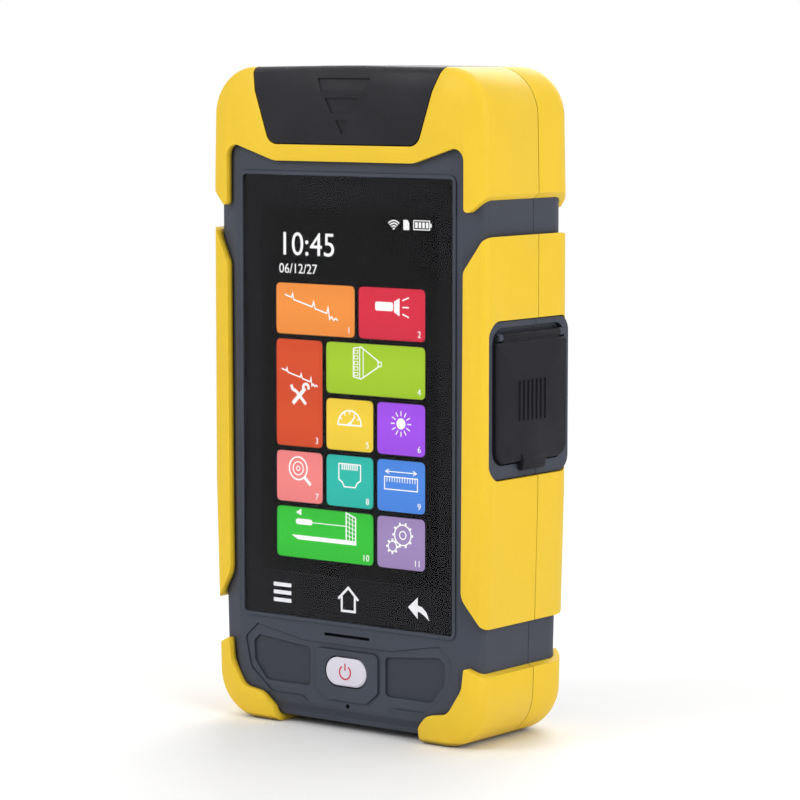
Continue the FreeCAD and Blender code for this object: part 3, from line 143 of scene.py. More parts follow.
def new_group(name, outputs, **inputs):
    """Shader group with named sockets; returns it with its input and output nodes."""
    group = bpy.data.node_groups.new(name, "ShaderNodeTree")
    for socket, value in inputs.items():
        kind = "NodeSocketColor" if isinstance(value, tuple) else "NodeSocketFloat"
        group.interface.new_socket(name=socket, in_out="INPUT", socket_type=kind).default_value = value
    for socket in outputs:
        kind = "NodeSocketColor" if socket == "Color" else "NodeSocketFloat"
        group.interface.new_socket(name=socket, in_out="OUTPUT", socket_type=kind)
    return group, node(group, "NodeGroupInput"), node(group, "NodeGroupOutput")


def feed(tree, socket, value):
    """Sets a constant on a socket, or links a value to it."""
    if isinstance(value, (tuple, float)):
        socket.default_value = value
    else:
        link(tree, value, socket)


def object_place(tree):
    """Place on the object itself, in metres."""
    return node(tree, "ShaderNodeTexCoord").outputs["Object"]


def axes(tree, vector):
    """X, Y and Z of a vector, as separate values."""
    split = node(tree, "ShaderNodeSeparateXYZ")
    link(tree, vector, split.inputs[0])
    return split.outputs


def facing(tree):
    """X, Y and Z of the direction that a surface faces."""
    return axes(tree, node(tree, "ShaderNodeNewGeometry").outputs["Normal"])


def calculate(tree, operation, *values):
    """Result of one step of arithmetic."""
    made = node(tree, "ShaderNodeMath", operation=operation)
    for socket, value in zip(made.inputs, values):
        feed(tree, socket, value)
    return made.outputs[0]


def product(tree, *values):
    """Values multiplied together."""
    total = values[0]
    for value in values[1:]:
        total = calculate(tree, "MULTIPLY", total, value)
    return total


def distance(tree, value, centre):
    """How far a value lies from a centre, either side."""
    return calculate(tree, "ABSOLUTE", calculate(tree, "SUBTRACT", value, centre))


def noise(tree, scale, detail=2.0, roughness=0.5, vector=None):
    """Soft noise over the object, or over another vector, from 0 to 1."""
    made = node(tree, "ShaderNodeTexNoise")
    link(tree, vector or object_place(tree), made.inputs["Vector"])
    for name, value in (("Scale", scale), ("Detail", detail), ("Roughness", roughness)):
        feed(tree, made.inputs[name], value)
    return made.outputs["Fac"]


def remap(tree, value, low, high, to_low=0.0, to_high=1.0):
    """Smooth step that turns the range low to high into to_low to to_high."""
    made = node(tree, "ShaderNodeMapRange", interpolation_type="SMOOTHSTEP")
    for name, given in zip(("Value", "From Min", "From Max", "To Min", "To Max"),
                           (value, low, high, to_low, to_high)):
        feed(tree, made.inputs[name], given)
    return made.outputs["Result"]


def mix(tree, kind, factor, first, second):
    """Blend of two colours (RGBA) or of two values (FLOAT)."""
    made = node(tree, "ShaderNodeMix", data_type=kind)
    wanted = "VALUE" if kind == "FLOAT" else kind
    ends = [socket for socket in made.inputs[1:] if socket.type == wanted]
    for socket, value in zip([made.inputs[0]] + ends, (factor, first, second)):
        feed(tree, socket, value)
    return next(socket for socket in made.outputs if socket.type == wanted)


def bump(tree, height, depth):
    """Direction of a surface that is raised by a height, to a depth in metres."""
    made = node(tree, "ShaderNodeBump")
    made.inputs["Distance"].default_value = depth
    link(tree, height, made.inputs["Height"])
    return made.outputs["Normal"]


# ---- effects that several finishes share ----
# Painted shade in creases: how far the occlusion looks, and how dark the painted tone is.
CREASE_REACH = 1.8 * MM
CREASE_SHADE = 0.25


def grain_group():
    """Fine spark-eroded texture of a moulded surface, with a slow waviness under it."""
    group, given, out = new_group("moulded grain", ["Height"], Scale=2500.0)
    fine = noise(group, given.outputs["Scale"], 3.0, 0.6)
    slow = noise(group, 160.0, 1.0)
    link(group, mix(group, "FLOAT", 0.35, fine, slow), out.inputs["Height"])
    return group


def handling_group():
    """Uneven shine and tone left by hands, with a few rubbed patches."""
    group, given, out = new_group("handling", ["Color", "Roughness"], Tone=WHITE, Rubbed=WHITE,
                                  Roughness=0.5, Spread=0.1)
    tone, rubbed, roughness, spread = given.outputs[:4]
    patches = remap(group, noise(group, 34.0, 4.0, 0.62), 0.42, 0.72)
    speckle = remap(group, noise(group, 620.0), 0.35, 0.75, 0.0, 0.35)
    worn = calculate(group, "MAXIMUM", patches, speckle)
    link(group, mix(group, "RGBA", worn, tone, rubbed), out.inputs["Color"])
    smoother = calculate(group, "SUBTRACT", roughness, spread)
    link(group, mix(group, "FLOAT", patches, roughness, smoother), out.inputs["Roughness"])
    return group


def dust_group():
    """Mask of the pale dust that settles on surfaces that face up."""
    group, given, out = new_group("settled dust", ["Mask"], Amount=0.2)
    upward = remap(group, facing(group)["Z"], 0.35, 1.0)
    broken = remap(group, noise(group, 260.0, 6.0, 0.75), 0.4, 0.75)
    link(group, product(group, upward, broken, given.outputs["Amount"]), out.inputs["Mask"])
    return group


def crevice_group():
    """Mask of painted shade in the narrow creases where two mouldings meet, darker where ambient occlusion
    finds them closed in.
    """
    group, given, out = new_group("painted crease shade", ["Mask"], Amount=0.6)
    open_air = node(group, "ShaderNodeAmbientOcclusion", samples=8)
    open_air.inputs["Distance"].default_value = CREASE_REACH
    closed = remap(group, open_air.outputs["AO"], 0.82, 0.4)
    link(group, product(group, closed, given.outputs["Amount"]), out.inputs["Mask"])
    return group


GRAIN = grain_group()
PAINTED_CREASE_SHADE = crevice_group()
HANDLING = handling_group()
DUST = dust_group()
DUST_TONE = colour(196, 192, 186)


def placed(tree, group, **values):
    """Outputs of a shared effect that is used with these values."""
    made = node(tree, "ShaderNodeGroup", node_tree=group)
    for name, value in values.items():
        made.inputs[name].default_value = value
    return made.outputs


# ---- finishes ----
COATING_TINT = (0.4, 0.4, 0.43, 1.0)
GLOW_ROW = 7.2 * MM


def blank(name):
    """New finish, with its tree and its main shader."""
    material = bpy.data.materials.new(name)
    material.use_nodes = True
    return material, material.node_tree, material.node_tree.nodes["Principled BSDF"]


def dress(tree, shader, **values):
    """Feeds the sockets of a finish, with _ for a space in their names."""
    for name, value in values.items():
        feed(tree, shader.inputs[name.replace("_", " ")], value)


def moulded(name, tone, rubbed, roughness, spread=0.1, grain=2600.0, depth=20 * MICRON, dust=0.0, level=0.5,
            painted_shade=0.0):
    """Textured moulding: fine grain, handled tone and shine, dust on top and painted shade in its creases.
    """
    material, tree, shader = blank(name)
    handling = placed(tree, HANDLING, Tone=tone, Rubbed=rubbed, Roughness=roughness, Spread=spread)
    dusty = placed(tree, DUST, Amount=dust)["Mask"]
    surface = mix(tree, "RGBA", dusty, handling["Color"], DUST_TONE)
    # Painted shade: creases darkened where ambient occlusion finds them closed in.
    if painted_shade:
        crease_shade_mask = placed(tree, PAINTED_CREASE_SHADE, Amount=painted_shade)["Mask"]
        surface = mix(tree, "RGBA", crease_shade_mask, surface, shade(tone, CREASE_SHADE))
    dress(tree, shader, Base_Color=surface, Roughness=handling["Roughness"], Specular_IOR_Level=level,
          Normal=bump(tree, placed(tree, GRAIN, Scale=grain)["Height"], depth))
    return material


def metal(name, tone, roughness, brush=(40.0, 40.0, 900.0)):
    """Bare metal with drawn marks that run across the third direction."""
    material, tree, shader = blank(name)
    stretch = node(tree, "ShaderNodeMapping")
    stretch.inputs["Scale"].default_value = brush
    link(tree, object_place(tree), stretch.inputs["Vector"])
    marks = noise(tree, 6.0, 3.0, 0.6, stretch.outputs["Vector"])
    dress(tree, shader, Metallic=1.0, Base_Color=mix(tree, "RGBA", marks, shade(tone, 0.88), tone),
          Roughness=remap(tree, marks, 0.3, 0.75, roughness - 0.07, roughness + 0.1),
          Normal=bump(tree, marks, 10 * MICRON))
    return material


def cover_glass():
    """Toughened cover glass with an anti-reflection coating and the faint smears of a touch screen."""
    material, tree, shader = blank("cover glass")
    smears = noise(tree, 45.0, 1.5, 0.5)
    dress(tree, shader, Base_Color=WHITE, Transmission_Weight=1.0, IOR=1.26, Specular_Tint=COATING_TINT,
          Roughness=remap(tree, smears, 0.45, 0.75, 0.02, 0.055))
    return material


def printed(name, tone, glow=0.0):
    """Screen-printed ink, a little uneven in its cover; a glow above 0 makes it shine as painted light."""
    material, tree, shader = blank(name)
    cover = noise(tree, 1500.0, 3.0)
    ink = mix(tree, "RGBA", cover, shade(tone, 0.93), tone)
    dress(tree, shader, Base_Color=ink, Emission_Color=ink, Emission_Strength=glow,
          Roughness=remap(tree, cover, 0.3, 0.7, 0.38, 0.5))
    return material


def lit(name, tone):
    """Part of the lit picture: a colour that lightens and darkens a little with height."""
    material, tree, shader = blank(name)
    rows = calculate(tree, "PINGPONG", axes(tree, object_place(tree))["Z"], GLOW_ROW)
    glow = mix(tree, "RGBA", remap(tree, rows, 0.0, GLOW_ROW), shade(tone, 0.92), tone)
    dress(tree, shader, Base_Color=shade(tone, 0.05), Roughness=0.4, Specular_IOR_Level=0.05,
          Emission_Color=glow, Emission_Strength=1.0)
    return material


SLATE_SHELL = moulded("slate shell", SLATE, shade(SLATE, 1.12), 0.55, dust=0.05, level=0.2, painted_shade=0.8)
GOLD_BUMPER = moulded("gold bumper", GOLD, shade(GOLD, 0.95), 0.5, spread=0.08, grain=1700.0,
                      depth=12 * MICRON, dust=0.05, level=0.2, painted_shade=0.8)
BLACK_LID = moulded("black lid", LID_BLACK, shade(LID_BLACK, 1.3), 0.5, spread=0.12, dust=0.05, level=0.12)
BLACK_FLAP = moulded("black flap rubber", FLAP_BLACK, shade(FLAP_BLACK, 1.25), 0.6, grain=2100.0,
                     depth=25 * MICRON, dust=0.05, level=0.12)
WHITE_BUTTON = moulded("white button", BUTTON_WHITE, shade(BUTTON_WHITE, 0.96), 0.36, spread=0.08,
                       grain=3000.0, depth=5 * MICRON)
INNER_BLACK = moulded("inner moulding", colour(36, 36, 38), colour(44, 44, 46), 0.55, dust=0.02, level=0.3)
CELL_BLUE = moulded("cell sleeve", colour(40, 92, 158), colour(52, 104, 170), 0.35, grain=900.0,
                    depth=10 * MICRON)
BOARD_GREEN = moulded("solder mask", colour(22, 92, 52), colour(30, 108, 62), 0.38, grain=1200.0,
                      depth=10 * MICRON, dust=0.1)
FIBRE_COAT = moulded("fibre coating", colour(236, 206, 60), colour(244, 216, 84), 0.35, spread=0.08,
                     grain=2000.0, depth=4 * MICRON)
MASK_BLACK = moulded("printed black mask", GLOSS_BLACK, shade(GLOSS_BLACK, 1.4), 0.5, spread=0.08,
                     grain=1500.0, depth=2 * MICRON, level=0.0)
PANEL_FACE = moulded("dark panel face", PANEL_DARK, shade(PANEL_DARK, 1.1), 0.5, spread=0.05,
                     grain=1500.0, depth=1 * MICRON, level=0.0)
CERAMIC = moulded("ceramic sleeve", colour(232, 230, 224), colour(240, 238, 232), 0.22, spread=0.05,
                  depth=2 * MICRON)
INSERT_WHITE = moulded("socket insert", colour(222, 221, 216), colour(232, 231, 227), 0.4, spread=0.08,
                       depth=5 * MICRON)
COVER_GLASS = cover_glass()
BARE_STEEL = metal("bare steel", colour(172, 172, 176), 0.32)
NICKEL = metal("nickel plate", colour(206, 202, 192), 0.24, (150.0, 150.0, 30.0))
TINNED_SHEET = metal("tinned sheet", colour(190, 192, 196), 0.34, (60.0, 60.0, 420.0))
CONTACT_GOLD = metal("contact gold", colour(224, 180, 92), 0.26, (60.0, 420.0, 60.0))
SYMBOL_INK = printed("red symbol ink", SYMBOL_RED)
# The touch marks glow a little: painted light, standing in for the lamp light that the cover glass keeps
# from them.
GLOWING_TOUCH_INK = printed("touch mark ink with painted glow", colour(206, 206, 210), 0.55)


def tint(material, mask, tone):
    """Lays a tone over a finish where a mask is 1."""
    tree = material.node_tree
    base = tree.nodes["Principled BSDF"].inputs["Base Color"]
    link(tree, mix(tree, "RGBA", mask, base.links[0].from_socket, tone), base)


def seam_line(material):
    """Dark hairline where the front and rear shells meet."""
    tree = material.node_tree
    off = distance(tree, axes(tree, object_place(tree))["Y"], SEAM * MM)
    tint(material, remap(tree, off, 0.2 * MM, 0.1 * MM), shade(SLATE, 0.22))


def shell_with_pads():
    """Slate shell whose sunken grip pads beside the button are a shade darker."""
    material = SLATE_SHELL.copy()
    material.name = "slate shell with pads"
    tree = material.node_tree
    place = axes(tree, object_place(tree))
    face = LENS.y0
    sunken = remap(tree, place["Y"], (face + 0.6) * MM, (face + 0.8) * MM)
    shallow = remap(tree, place["Y"], (face + 1.4) * MM, (face + 1.2) * MM)
    chin = remap(tree, place["Z"], (LENS.z0 - 2.0) * MM, (LENS.z0 - 2.4) * MM)
    inside = remap(tree, distance(tree, place["X"], 0.0), LENS.x1 * MM, (LENS.x1 - 0.5) * MM)
    forward = remap(tree, facing(tree)["Y"], -0.8, -0.9)
    tint(material, product(tree, sunken, shallow, chin, inside, forward), shade(SLATE, 0.76))
    return material


seam_line(SLATE_SHELL)

FINISH_OF_SLOT = {
    "shell_grey": SLATE_SHELL,
    "bumper_yellow": GOLD_BUMPER,
    "lid_black": BLACK_LID,
    "flap_rubber": BLACK_FLAP,
    "lens_glass": COVER_GLASS,
    "mask_black": MASK_BLACK,
    "lcd_glass": PANEL_FACE,
    "button_white": WHITE_BUTTON,
    "sheet_metal": TINNED_SHEET,
    "steel": BARE_STEEL,
    "nickel": NICKEL,
    "board_green": BOARD_GREEN,
    "inner_black": INNER_BLACK,
    "fibre_yellow": FIBRE_COAT,
    "cell_blue": CELL_BLUE,
    "copper": CONTACT_GOLD,
}


def paint(thing, finish):
    thing.data.materials.clear()
    thing.data.materials.append(finish)


# ---- pieces ----
SHARP_ANGLE = 35.0
ROUNDED_ANGLE = 32.0
FLAT_ANGLE = 0.4
MERGE_REACH = 0.002
SEAM_REACH = 0.25
SEAM_WEIGHT = 0.2
BUMPER_RADIUS = 0.7
EDGE_RADIUS = {"port_lid": 0.3, "left_port_flap": 0.18, "right_port_flap": 0.18, "kickstand": 0.3,
               "battery_door": 0.25, "power_button": 0.3}


def in_scene(name, data):
    """New object that shows some data."""
    thing = bpy.data.objects.new(name, data)
    bpy.context.scene.collection.objects.link(thing)
    return thing


def add_piece(name, mesh, finish, body):
    """Shows a mesh that is already in its place, riding on a body of the frame."""
    thing = in_scene(name, mesh)
    if finish:
        paint(thing, finish)
    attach(thing, body)
    return thing


def mesh_of(thing):
    """Plain mesh of an object with its modifiers applied; the object is then removed."""
    shape = bpy.data.meshes.new_from_object(thing.evaluated_get(bpy.context.evaluated_depsgraph_get()))
    bpy.data.objects.remove(thing)
    return shape


def shape_from(body, name, smooth=False):
    """Mesh made from a finished bmesh, rounded by its shading apart from its sharp edges if asked."""
    shape = bpy.data.meshes.new(name)
    body.to_mesh(shape)
    body.free()
    if smooth:
        shape.shade_smooth()
        shape.set_sharp_from_angle(angle=math.radians(SHARP_ANGLE))
    return shape


def angles(count):
    """Even steps of a full turn."""
    return [math.tau * i / count for i in range(count)]


def sweep(start, end, steps):
    """Even steps from one angle to another, both in degrees."""
    return [math.radians(start + (end - start) * i / steps) for i in range(steps + 1)]


def points_round(x, z, radius, turn):
    """Points round a centre, at these angles."""
    return [(x + radius * math.cos(a), z + radius * math.sin(a)) for a in turn]


def band(body, near, far):
    """Faces between two closed runs of vertices."""
    for i in range(len(near)):
        j = (i + 1) % len(near)
        body.faces.new([near[i], far[i], far[j], near[j]])


def moulded_copy(source, width):
    """Copy of a node's mesh, merged and with its edges broken to a small radius, less so along the seam."""
    body = bmesh.new()
    body.from_mesh(source.data)
    bmesh.ops.remove_doubles(body, verts=body.verts, dist=MERGE_REACH * MM)
    bmesh.ops.dissolve_limit(body, angle_limit=math.radians(FLAT_ANGLE), verts=body.verts,
                             edges=body.edges)
    bmesh.ops.triangulate(body, faces=body.faces)
    weight = body.edges.layers.float.new("bevel_weight_edge")
    for edge in body.edges:
        if edge.is_manifold and edge.calc_face_angle() > math.radians(ROUNDED_ANGLE):
            at_seam = all(abs(v.co.y / MM - SEAM) < SEAM_REACH for v in edge.verts)
            edge[weight] = SEAM_WEIGHT if at_seam else 1.0
    shape = shape_from(body, source.name + "_moulded")
    shape.shade_smooth()
    thing = in_scene("rounding", shape)
    bevel = thing.modifiers.new("edge radius", "BEVEL")
    bevel.width = width * MM
    bevel.segments = 3
    bevel.limit_method = "WEIGHT"
    bevel.harden_normals = True
    return mesh_of(thing)


def soften(name, width):
    """Shows a softened copy of a node in the node's place."""
    shape = moulded_copy(frame["nodes"][name], width)
    finish = FINISH_OF_SLOT[SLOT_OF[name]]
    thing = add_piece(name + "_skin", shape, finish, BODY_OF[name])
    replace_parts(thing, name)


def dress_frame():
    """Every node in its finish, and softened copies of those whose edges are seen close."""
    for name, thing in frame["nodes"].items():
        paint(thing, FINISH_OF_SLOT[SLOT_OF[name]])
    paint(frame["nodes"]["front_shell"], shell_with_pads())
    for name in frame["nodes"]:
        if "bumper" in name:
            soften(name, BUMPER_RADIUS)
    for name, width in EDGE_RADIUS.items():
        soften(name, width)


# ---- flat marks: drawn in millimetres in the plane of the screen ----
MITRE_LIMIT = 0.35
CORNER_STEPS = 6


class Marks:
    """Flat shapes in X and Z that become one thin mesh."""

    def __init__(self, x=0.0, z=0.0, scale=1.0):
        self.faces = []
        self.x, self.z, self.scale = x, z, scale

    def plate(self, points):
        """Filled outline."""
        self.faces.append([(x * self.scale + self.x, z * self.scale + self.z) for x, z in points])

    def line(self, points, width, closed=False):
        """Band of even width along a run of points, mitred at its corners."""
        count = len(points)
        left, right = [], []
        for i, point in enumerate(points):
            here = Vector(point)
            before = Vector(points[i - 1]) if closed or i else None
            after = Vector(points[(i + 1) % count]) if closed or i < count - 1 else None
            into = (here - before).normalized() if before else (after - here).normalized()
            onward = (after - here).normalized() if after else into
            across = Vector((-into.y - onward.y, into.x + onward.x)).normalized()
            reach = width / 2 / max(MITRE_LIMIT, across.dot(Vector((-into.y, into.x))))
            left.append(tuple(here + across * reach))
            right.append(tuple(here - across * reach))
        for i in range(count if closed else count - 1):
            j = (i + 1) % count
            self.plate([right[i], right[j], left[j], left[i]])

    def arc(self, x, z, radius, width, start=0.0, end=360.0, steps=28):
        """Line along a circle or a part of it, in degrees."""
        full = abs(end - start) >= 360
        turn = sweep(start, end, steps)[:steps if full else None]
        self.line(points_round(x, z, radius, turn), width, closed=full)

    def disc(self, x, z, radius, steps=24):
        self.plate(points_round(x, z, radius, angles(steps)))

    def bar(self, x0, x1, z0, z1, radius=0.0):
        """Filled rectangle with rounded corners."""
        if not radius:
            self.plate([(x0, z0), (x1, z0), (x1, z1), (x0, z1)])
            return
        points = []
        for x, z, start in ((x1 - radius, z0 + radius, -90), (x1 - radius, z1 - radius, 0),
                            (x0 + radius, z1 - radius, 90), (x0 + radius, z0 + radius, 180)):
            points += points_round(x, z, radius, sweep(start, start + 90, CORNER_STEPS))
        self.plate(points)

    def outline(self, x0, x1, z0, z1, width):
        self.line([(x0, z0), (x1, z0), (x1, z1), (x0, z1)], width, closed=True)

    def add(self, other):
        self.faces += other.faces

    def mesh(self, name, front, back):
        """Thin plates between the planes front and back, facing the front."""
        body = bmesh.new()
        for points in self.faces:
            ahead = [body.verts.new((x * MM, front * MM, z * MM)) for x, z in points]
            behind = [body.verts.new((x * MM, back * MM, z * MM)) for x, z in points]
            body.faces.new(ahead)
            body.faces.new(behind[::-1])
            band(body, ahead, behind)
        bmesh.ops.recalc_face_normals(body, faces=body.faces)
        return shape_from(body, name)


def join_meshes(name, meshes):
    body = bmesh.new()
    for mesh in meshes:
        body.from_mesh(mesh)
    return shape_from(body, name)


# ---- repeats grown by geometry nodes ----
class Grower:
    """A geometry node tree with named size inputs, given in metres."""

    def __init__(self, name, sizes=(), counts=()):
        self.tree = bpy.data.node_groups.new(name, "GeometryNodeTree")
        self.tree.interface.new_socket(name="Geometry", in_out="OUTPUT", socket_type="NodeSocketGeometry")
        self.keys = {}
        self.ask("Geometry", "Geometry")
        for key in sizes:
            self.ask(key, "Float")
        for key in counts:
            self.ask(key, "Int")
        self.ask("Finish", "Material")
        self.given = self.tree.nodes.new("NodeGroupInput")

    def ask(self, name, kind):
        """Adds a named input."""
        made = self.tree.interface.new_socket(name=name, in_out="INPUT", socket_type="NodeSocket" + kind)
        self.keys[name] = made.identifier

    def size(self, name):
        return self.given.outputs[name]

    def node(self, kind, links=None, **settings):
        """Outputs of a new node with these settings, fed by values and by other nodes' outputs."""
        made = self.tree.nodes.new(kind)
        for name, value in settings.items():
            setattr(made, name, value)
        for socket, source in (links or {}).items():
            if isinstance(source, (int, float, tuple)):
                made.inputs[socket].default_value = source
            else:
                self.tree.links.new(source, made.inputs[socket])
        return made.outputs

    def sum(self, operation, first, second):
        return self.node("ShaderNodeMath", {0: first, 1: second}, operation=operation)[0]

    def vector(self, x=0.0, y=0.0, z=0.0):
        return self.node("ShaderNodeCombineXYZ", {"X": x, "Y": y, "Z": z})[0]

    def block(self, *names):
        """Block whose three sizes are named inputs."""
        return self.node("GeometryNodeMeshCube", {"Size": self.vector(*map(self.size, names))})[0]

    def copies(self, points, instance, **more):
        """The same geometry on every point."""
        fed = {"Points": points, "Instance": instance, **more}
        return self.node("GeometryNodeInstanceOnPoints", fed)[0]

    def finish(self, geometry):
        """Ends the tree: plain geometry in the given finish."""
        real = self.node("GeometryNodeRealizeInstances", {"Geometry": geometry})[0]
        fed = {"Geometry": real, "Material": self.given.outputs["Finish"]}
        painted = self.node("GeometryNodeSetMaterial", fed)[0]
        self.tree.links.new(painted, self.tree.nodes.new("NodeGroupOutput").inputs[0])
        return self

    def grow(self, finish, base=None, **values):
        """Plain mesh that the tree makes with these values."""
        thing = in_scene("growing", base or bpy.data.meshes.new("seed"))
        modifier = thing.modifiers.new("grow", "NODES")
        modifier.node_group = self.tree
        for key, value in values.items():
            modifier[self.keys[key]] = value
        modifier[self.keys["Finish"]] = finish
        return mesh_of(thing)


def ray_ring():
    """Bars that stand round a centre in the plane of the screen, as teeth or rays."""
    g = Grower("ray ring", ["Inner", "Long", "Wide", "Thick"], ["Count"])
    ring = g.node("GeometryNodeMeshCircle", {"Vertices": g.size("Count"), "Radius": g.size("Inner")})[0]
    half = g.vector(g.sum("MULTIPLY", g.size("Long"), 0.5))
    block = g.block("Long", "Wide", "Thick")
    bar = g.node("GeometryNodeTransform", {"Geometry": block, "Translation": half})[0]
    place = g.node("GeometryNodeInputPosition")[0]
    outward = g.node("FunctionNodeAlignRotationToVector", {"Vector": place}, axis="X")[0]
    rays = g.copies(ring, bar, Rotation=outward)
    upright = g.node("GeometryNodeTransform", {"Geometry": rays, "Rotation": (math.pi / 2, 0, 0)})[0]
    return g.finish(upright)


def bar_row():
    """Row of equal bars along X, centred on the origin."""
    g = Grower("bar row", ["Pitch", "Wide", "Deep", "Tall"], ["Count"])
    gaps = g.sum("SUBTRACT", g.size("Count"), 1.0)
    start = g.sum("MULTIPLY", g.sum("MULTIPLY", gaps, g.size("Pitch")), -0.5)
    row = g.node("GeometryNodeMeshLine", {"Count": g.size("Count"), "Start Location": g.vector(start),
                                          "Offset": g.vector(g.size("Pitch"))}, mode="OFFSET")[0]
    return g.finish(g.copies(row, g.block("Wide", "Deep", "Tall")))


def screw_thread():
    """Thread as a thin round ridge wound up a barrel, its foot at the origin."""
    g = Grower("screw thread", ["Radius", "Ridge", "Height"], ["Turns"])
    barrel = {"Start Radius": g.size("Radius"), "End Radius": g.size("Radius"), "Height": g.size("Height")}
    helix = g.node("GeometryNodeCurveSpiral", {"Resolution": 32, "Rotations": g.size("Turns"), **barrel})[0]
    profile = g.node("GeometryNodeCurvePrimitiveCircle", {"Resolution": 6, "Radius": g.size("Ridge")},
                     mode="RADIUS")[0]
    fed = {"Curve": helix, "Profile Curve": profile, "Fill Caps": True}
    return g.finish(g.node("GeometryNodeCurveToMesh", fed)[0])


def fastener_set():
    """A screw on every point of the given mesh."""
    g = Grower("fastener set")
    g.ask("Screw", "Object")
    screw = g.node("GeometryNodeObjectInfo", {"Object": g.size("Screw")}, transform_space="ORIGINAL")
    return g.finish(g.copies(g.size("Geometry"), screw["Geometry"]))


RAY_RING = ray_ring()
BAR_ROW = bar_row()
SCREW_THREAD = screw_thread()
FASTENER_SET = fastener_set()


def moved(mesh, x, y, z, turn=None):
    """The mesh turned about the origin and then placed, in millimetres."""
    if turn:
        mesh.transform(turn)
    mesh.transform(Matrix.Translation(Vector((x, y, z)) * MM))
    return mesh


# ---- the lit picture ----
COLUMN_START = -23.3
COLUMN_PITCH = 16.25
ROW_START = 4.0
ROW_PITCH = 14.3
TILE_GAP = 1.35
TILE_R = 1.25
TILE_NUMERAL = 2.3
NUMERAL_IN = 1.2
NUMERAL_UP = 1.0
ICON_SCALE = 1.12
ICON_RISE = 0.6
TALL_ICON_RISE = 4.0
BIG_GEAR = (0.5, 0.7)
SMALL_GEAR = (-2.4, -2.0)
STATUS_RISE = 88.7
RADIO_X = 14.4
CARD_X = 17.4
BATTERY_X = 20.6
CLOCK_SIZE = 8.4
CLOCK_RISE = 81.3
DATE_SIZE = 3.5
DATE_RISE = 76.7
VIEW_LOW = LENS.z0 + 11.0
TILE_FRONT = PANEL.y0 - 0.05
TILE_BACK = PANEL.y0 - 0.01
MARK_FRONT = PANEL.y0 - 0.1
MARK_BACK = TILE_FRONT - 0.01
MARK_MIDDLE = (MARK_FRONT + MARK_BACK) / 2


def numeral_mesh(text, size, x, z, anchor="LEFT"):
    """Plain numerals in the layer of the marks, their baseline at z."""
    curve = bpy.data.curves.new("numerals", "FONT")
    curve.body = text
    curve.size = size * MM
    curve.align_x = anchor
    curve.extrude = (MARK_BACK - MARK_FRONT) / 2 * MM
    curve.resolution_u = 4
    shape = mesh_of(in_scene("numerals", curve))
    return moved(shape, x, MARK_MIDDLE, z, Matrix.Rotation(math.pi / 2, 4, "X"))


def tile_box(first, columns, row, rows):
    """Left, right, lower and upper edge of a tile."""
    x0 = COLUMN_START + first * COLUMN_PITCH
    z0 = VIEW_LOW + ROW_START + row * ROW_PITCH
    return x0, x0 + columns * COLUMN_PITCH - TILE_GAP, z0, z0 + rows * ROW_PITCH - TILE_GAP


def fibre_trace(m, scale=1.0):
    """A reflectometer's falling trace with its spikes."""
    run = [(-7.6, 2.6), (-5.6, 2.0), (-5.3, 2.9), (-4.9, 1.5), (0.4, 0.1), (0.8, 1.2), (1.3, -0.3),
           (4.6, -1.2), (5.0, 0.2), (5.4, -2.5), (6.0, -1.9), (6.6, -2.7), (7.2, -2.2), (7.8, -2.7)]
    m.line([(x * scale, z * scale) for x, z in run], 0.3)


def icon_trace(m):
    m.x -= 1.4
    fibre_trace(m)


def icon_torch(m):
    m.bar(-4.6, 0.4, 0.1, 2.1, 0.5)
    m.plate([(0.7, -0.1), (2.2, -0.9), (2.2, 3.1), (0.7, 2.3)])
    for z, lift in ((2.6, 0.7), (1.1, 0.0), (-0.4, -0.7)):
        m.line([(3.0, z), (4.8, z + lift)], 0.3)


def icon_tools(m):
    fibre_trace(m, 0.68)
    m.z -= 4.6
    m.line([(-1.9, -1.9), (1.7, 1.7)], 0.95)
    m.line([(1.9, -1.9), (-1.0, 1.0)], 0.75)
    m.arc(1.9, 1.9, 0.8, 0.65, -30, 210, 14)
    m.line([(-1.0, 1.0), (-1.9, 1.3), (-2.4, 2.3)], 0.75)


def icon_event(m):
    m.x -= 4.0
    m.z += 1.0
    horn = [(-2.6, 3.2), (-0.4, 3.6), (4.4, 0.7), (4.4, -0.7), (-0.4, -3.6), (-2.6, -3.2)]
    m.line(horn, 0.25, closed=True)
    m.line([(0.2, 3.2), (0.2, -3.2)], 0.2)
    m.line([(-0.8, 3.4), (-0.8, -3.4)], 0.2)
    m.outline(4.4, 5.3, -0.5, 0.5, 0.22)
    for i in range(5):
        m.outline(-2.3, -1.3, -2.9 + 1.25 * i, -2.2 + 1.25 * i, 0.16)


def icon_meter(m):
    m.z -= 0.6
    m.arc(0, 0, 3.3, 0.35, 0, 180, 24)
    m.line([(-3.5, 0), (3.5, 0)], 0.35)
    for ends in zip(*(points_round(0, 0, radius, sweep(30, 150, 4)) for radius in (2.4, 3.2))):
        m.line(ends, 0.25)
    m.line([(0, 0.1), (1.5, 2.0)], 0.35)
    m.disc(0, 0.2, 0.5)


def icon_source(m):
    m.z += 0.8
    m.disc(0, 0, 1.25)


def icon_finder(m):
    m.z += 1.0
    m.arc(-0.4, 0.5, 2.6, 0.35)
    m.arc(-0.4, 0.5, 1.5, 0.25)
    m.line([(1.5, -1.5), (3.2, -3.1)], 0.75)
    m.arc(-0.4, 0.5, 0.5, 0.2, steps=16)


def icon_socket(m):
    m.z += 0.9
    m.line([(-3.1, 2.6), (-3.1, -1.0), (-2.1, -1.6), (-1.6, -2.6), (1.6, -2.6), (2.1, -1.6), (3.1, -1.0),
            (3.1, 2.6)], 0.28)
    m.line([(-3.1, 2.6), (3.1, 2.6)], 0.28)


def icon_length(m):
    m.z += 0.6
    m.outline(-4.6, 4.6, -1.9, 0.9, 0.25)
    m.line([(-4.2, 2.1), (4.2, 2.1)], 0.22)
    for side in (-1, 1):
        m.line([(side * 3.4, 2.6), (side * 4.3, 2.1), (side * 3.4, 1.6)], 0.22)


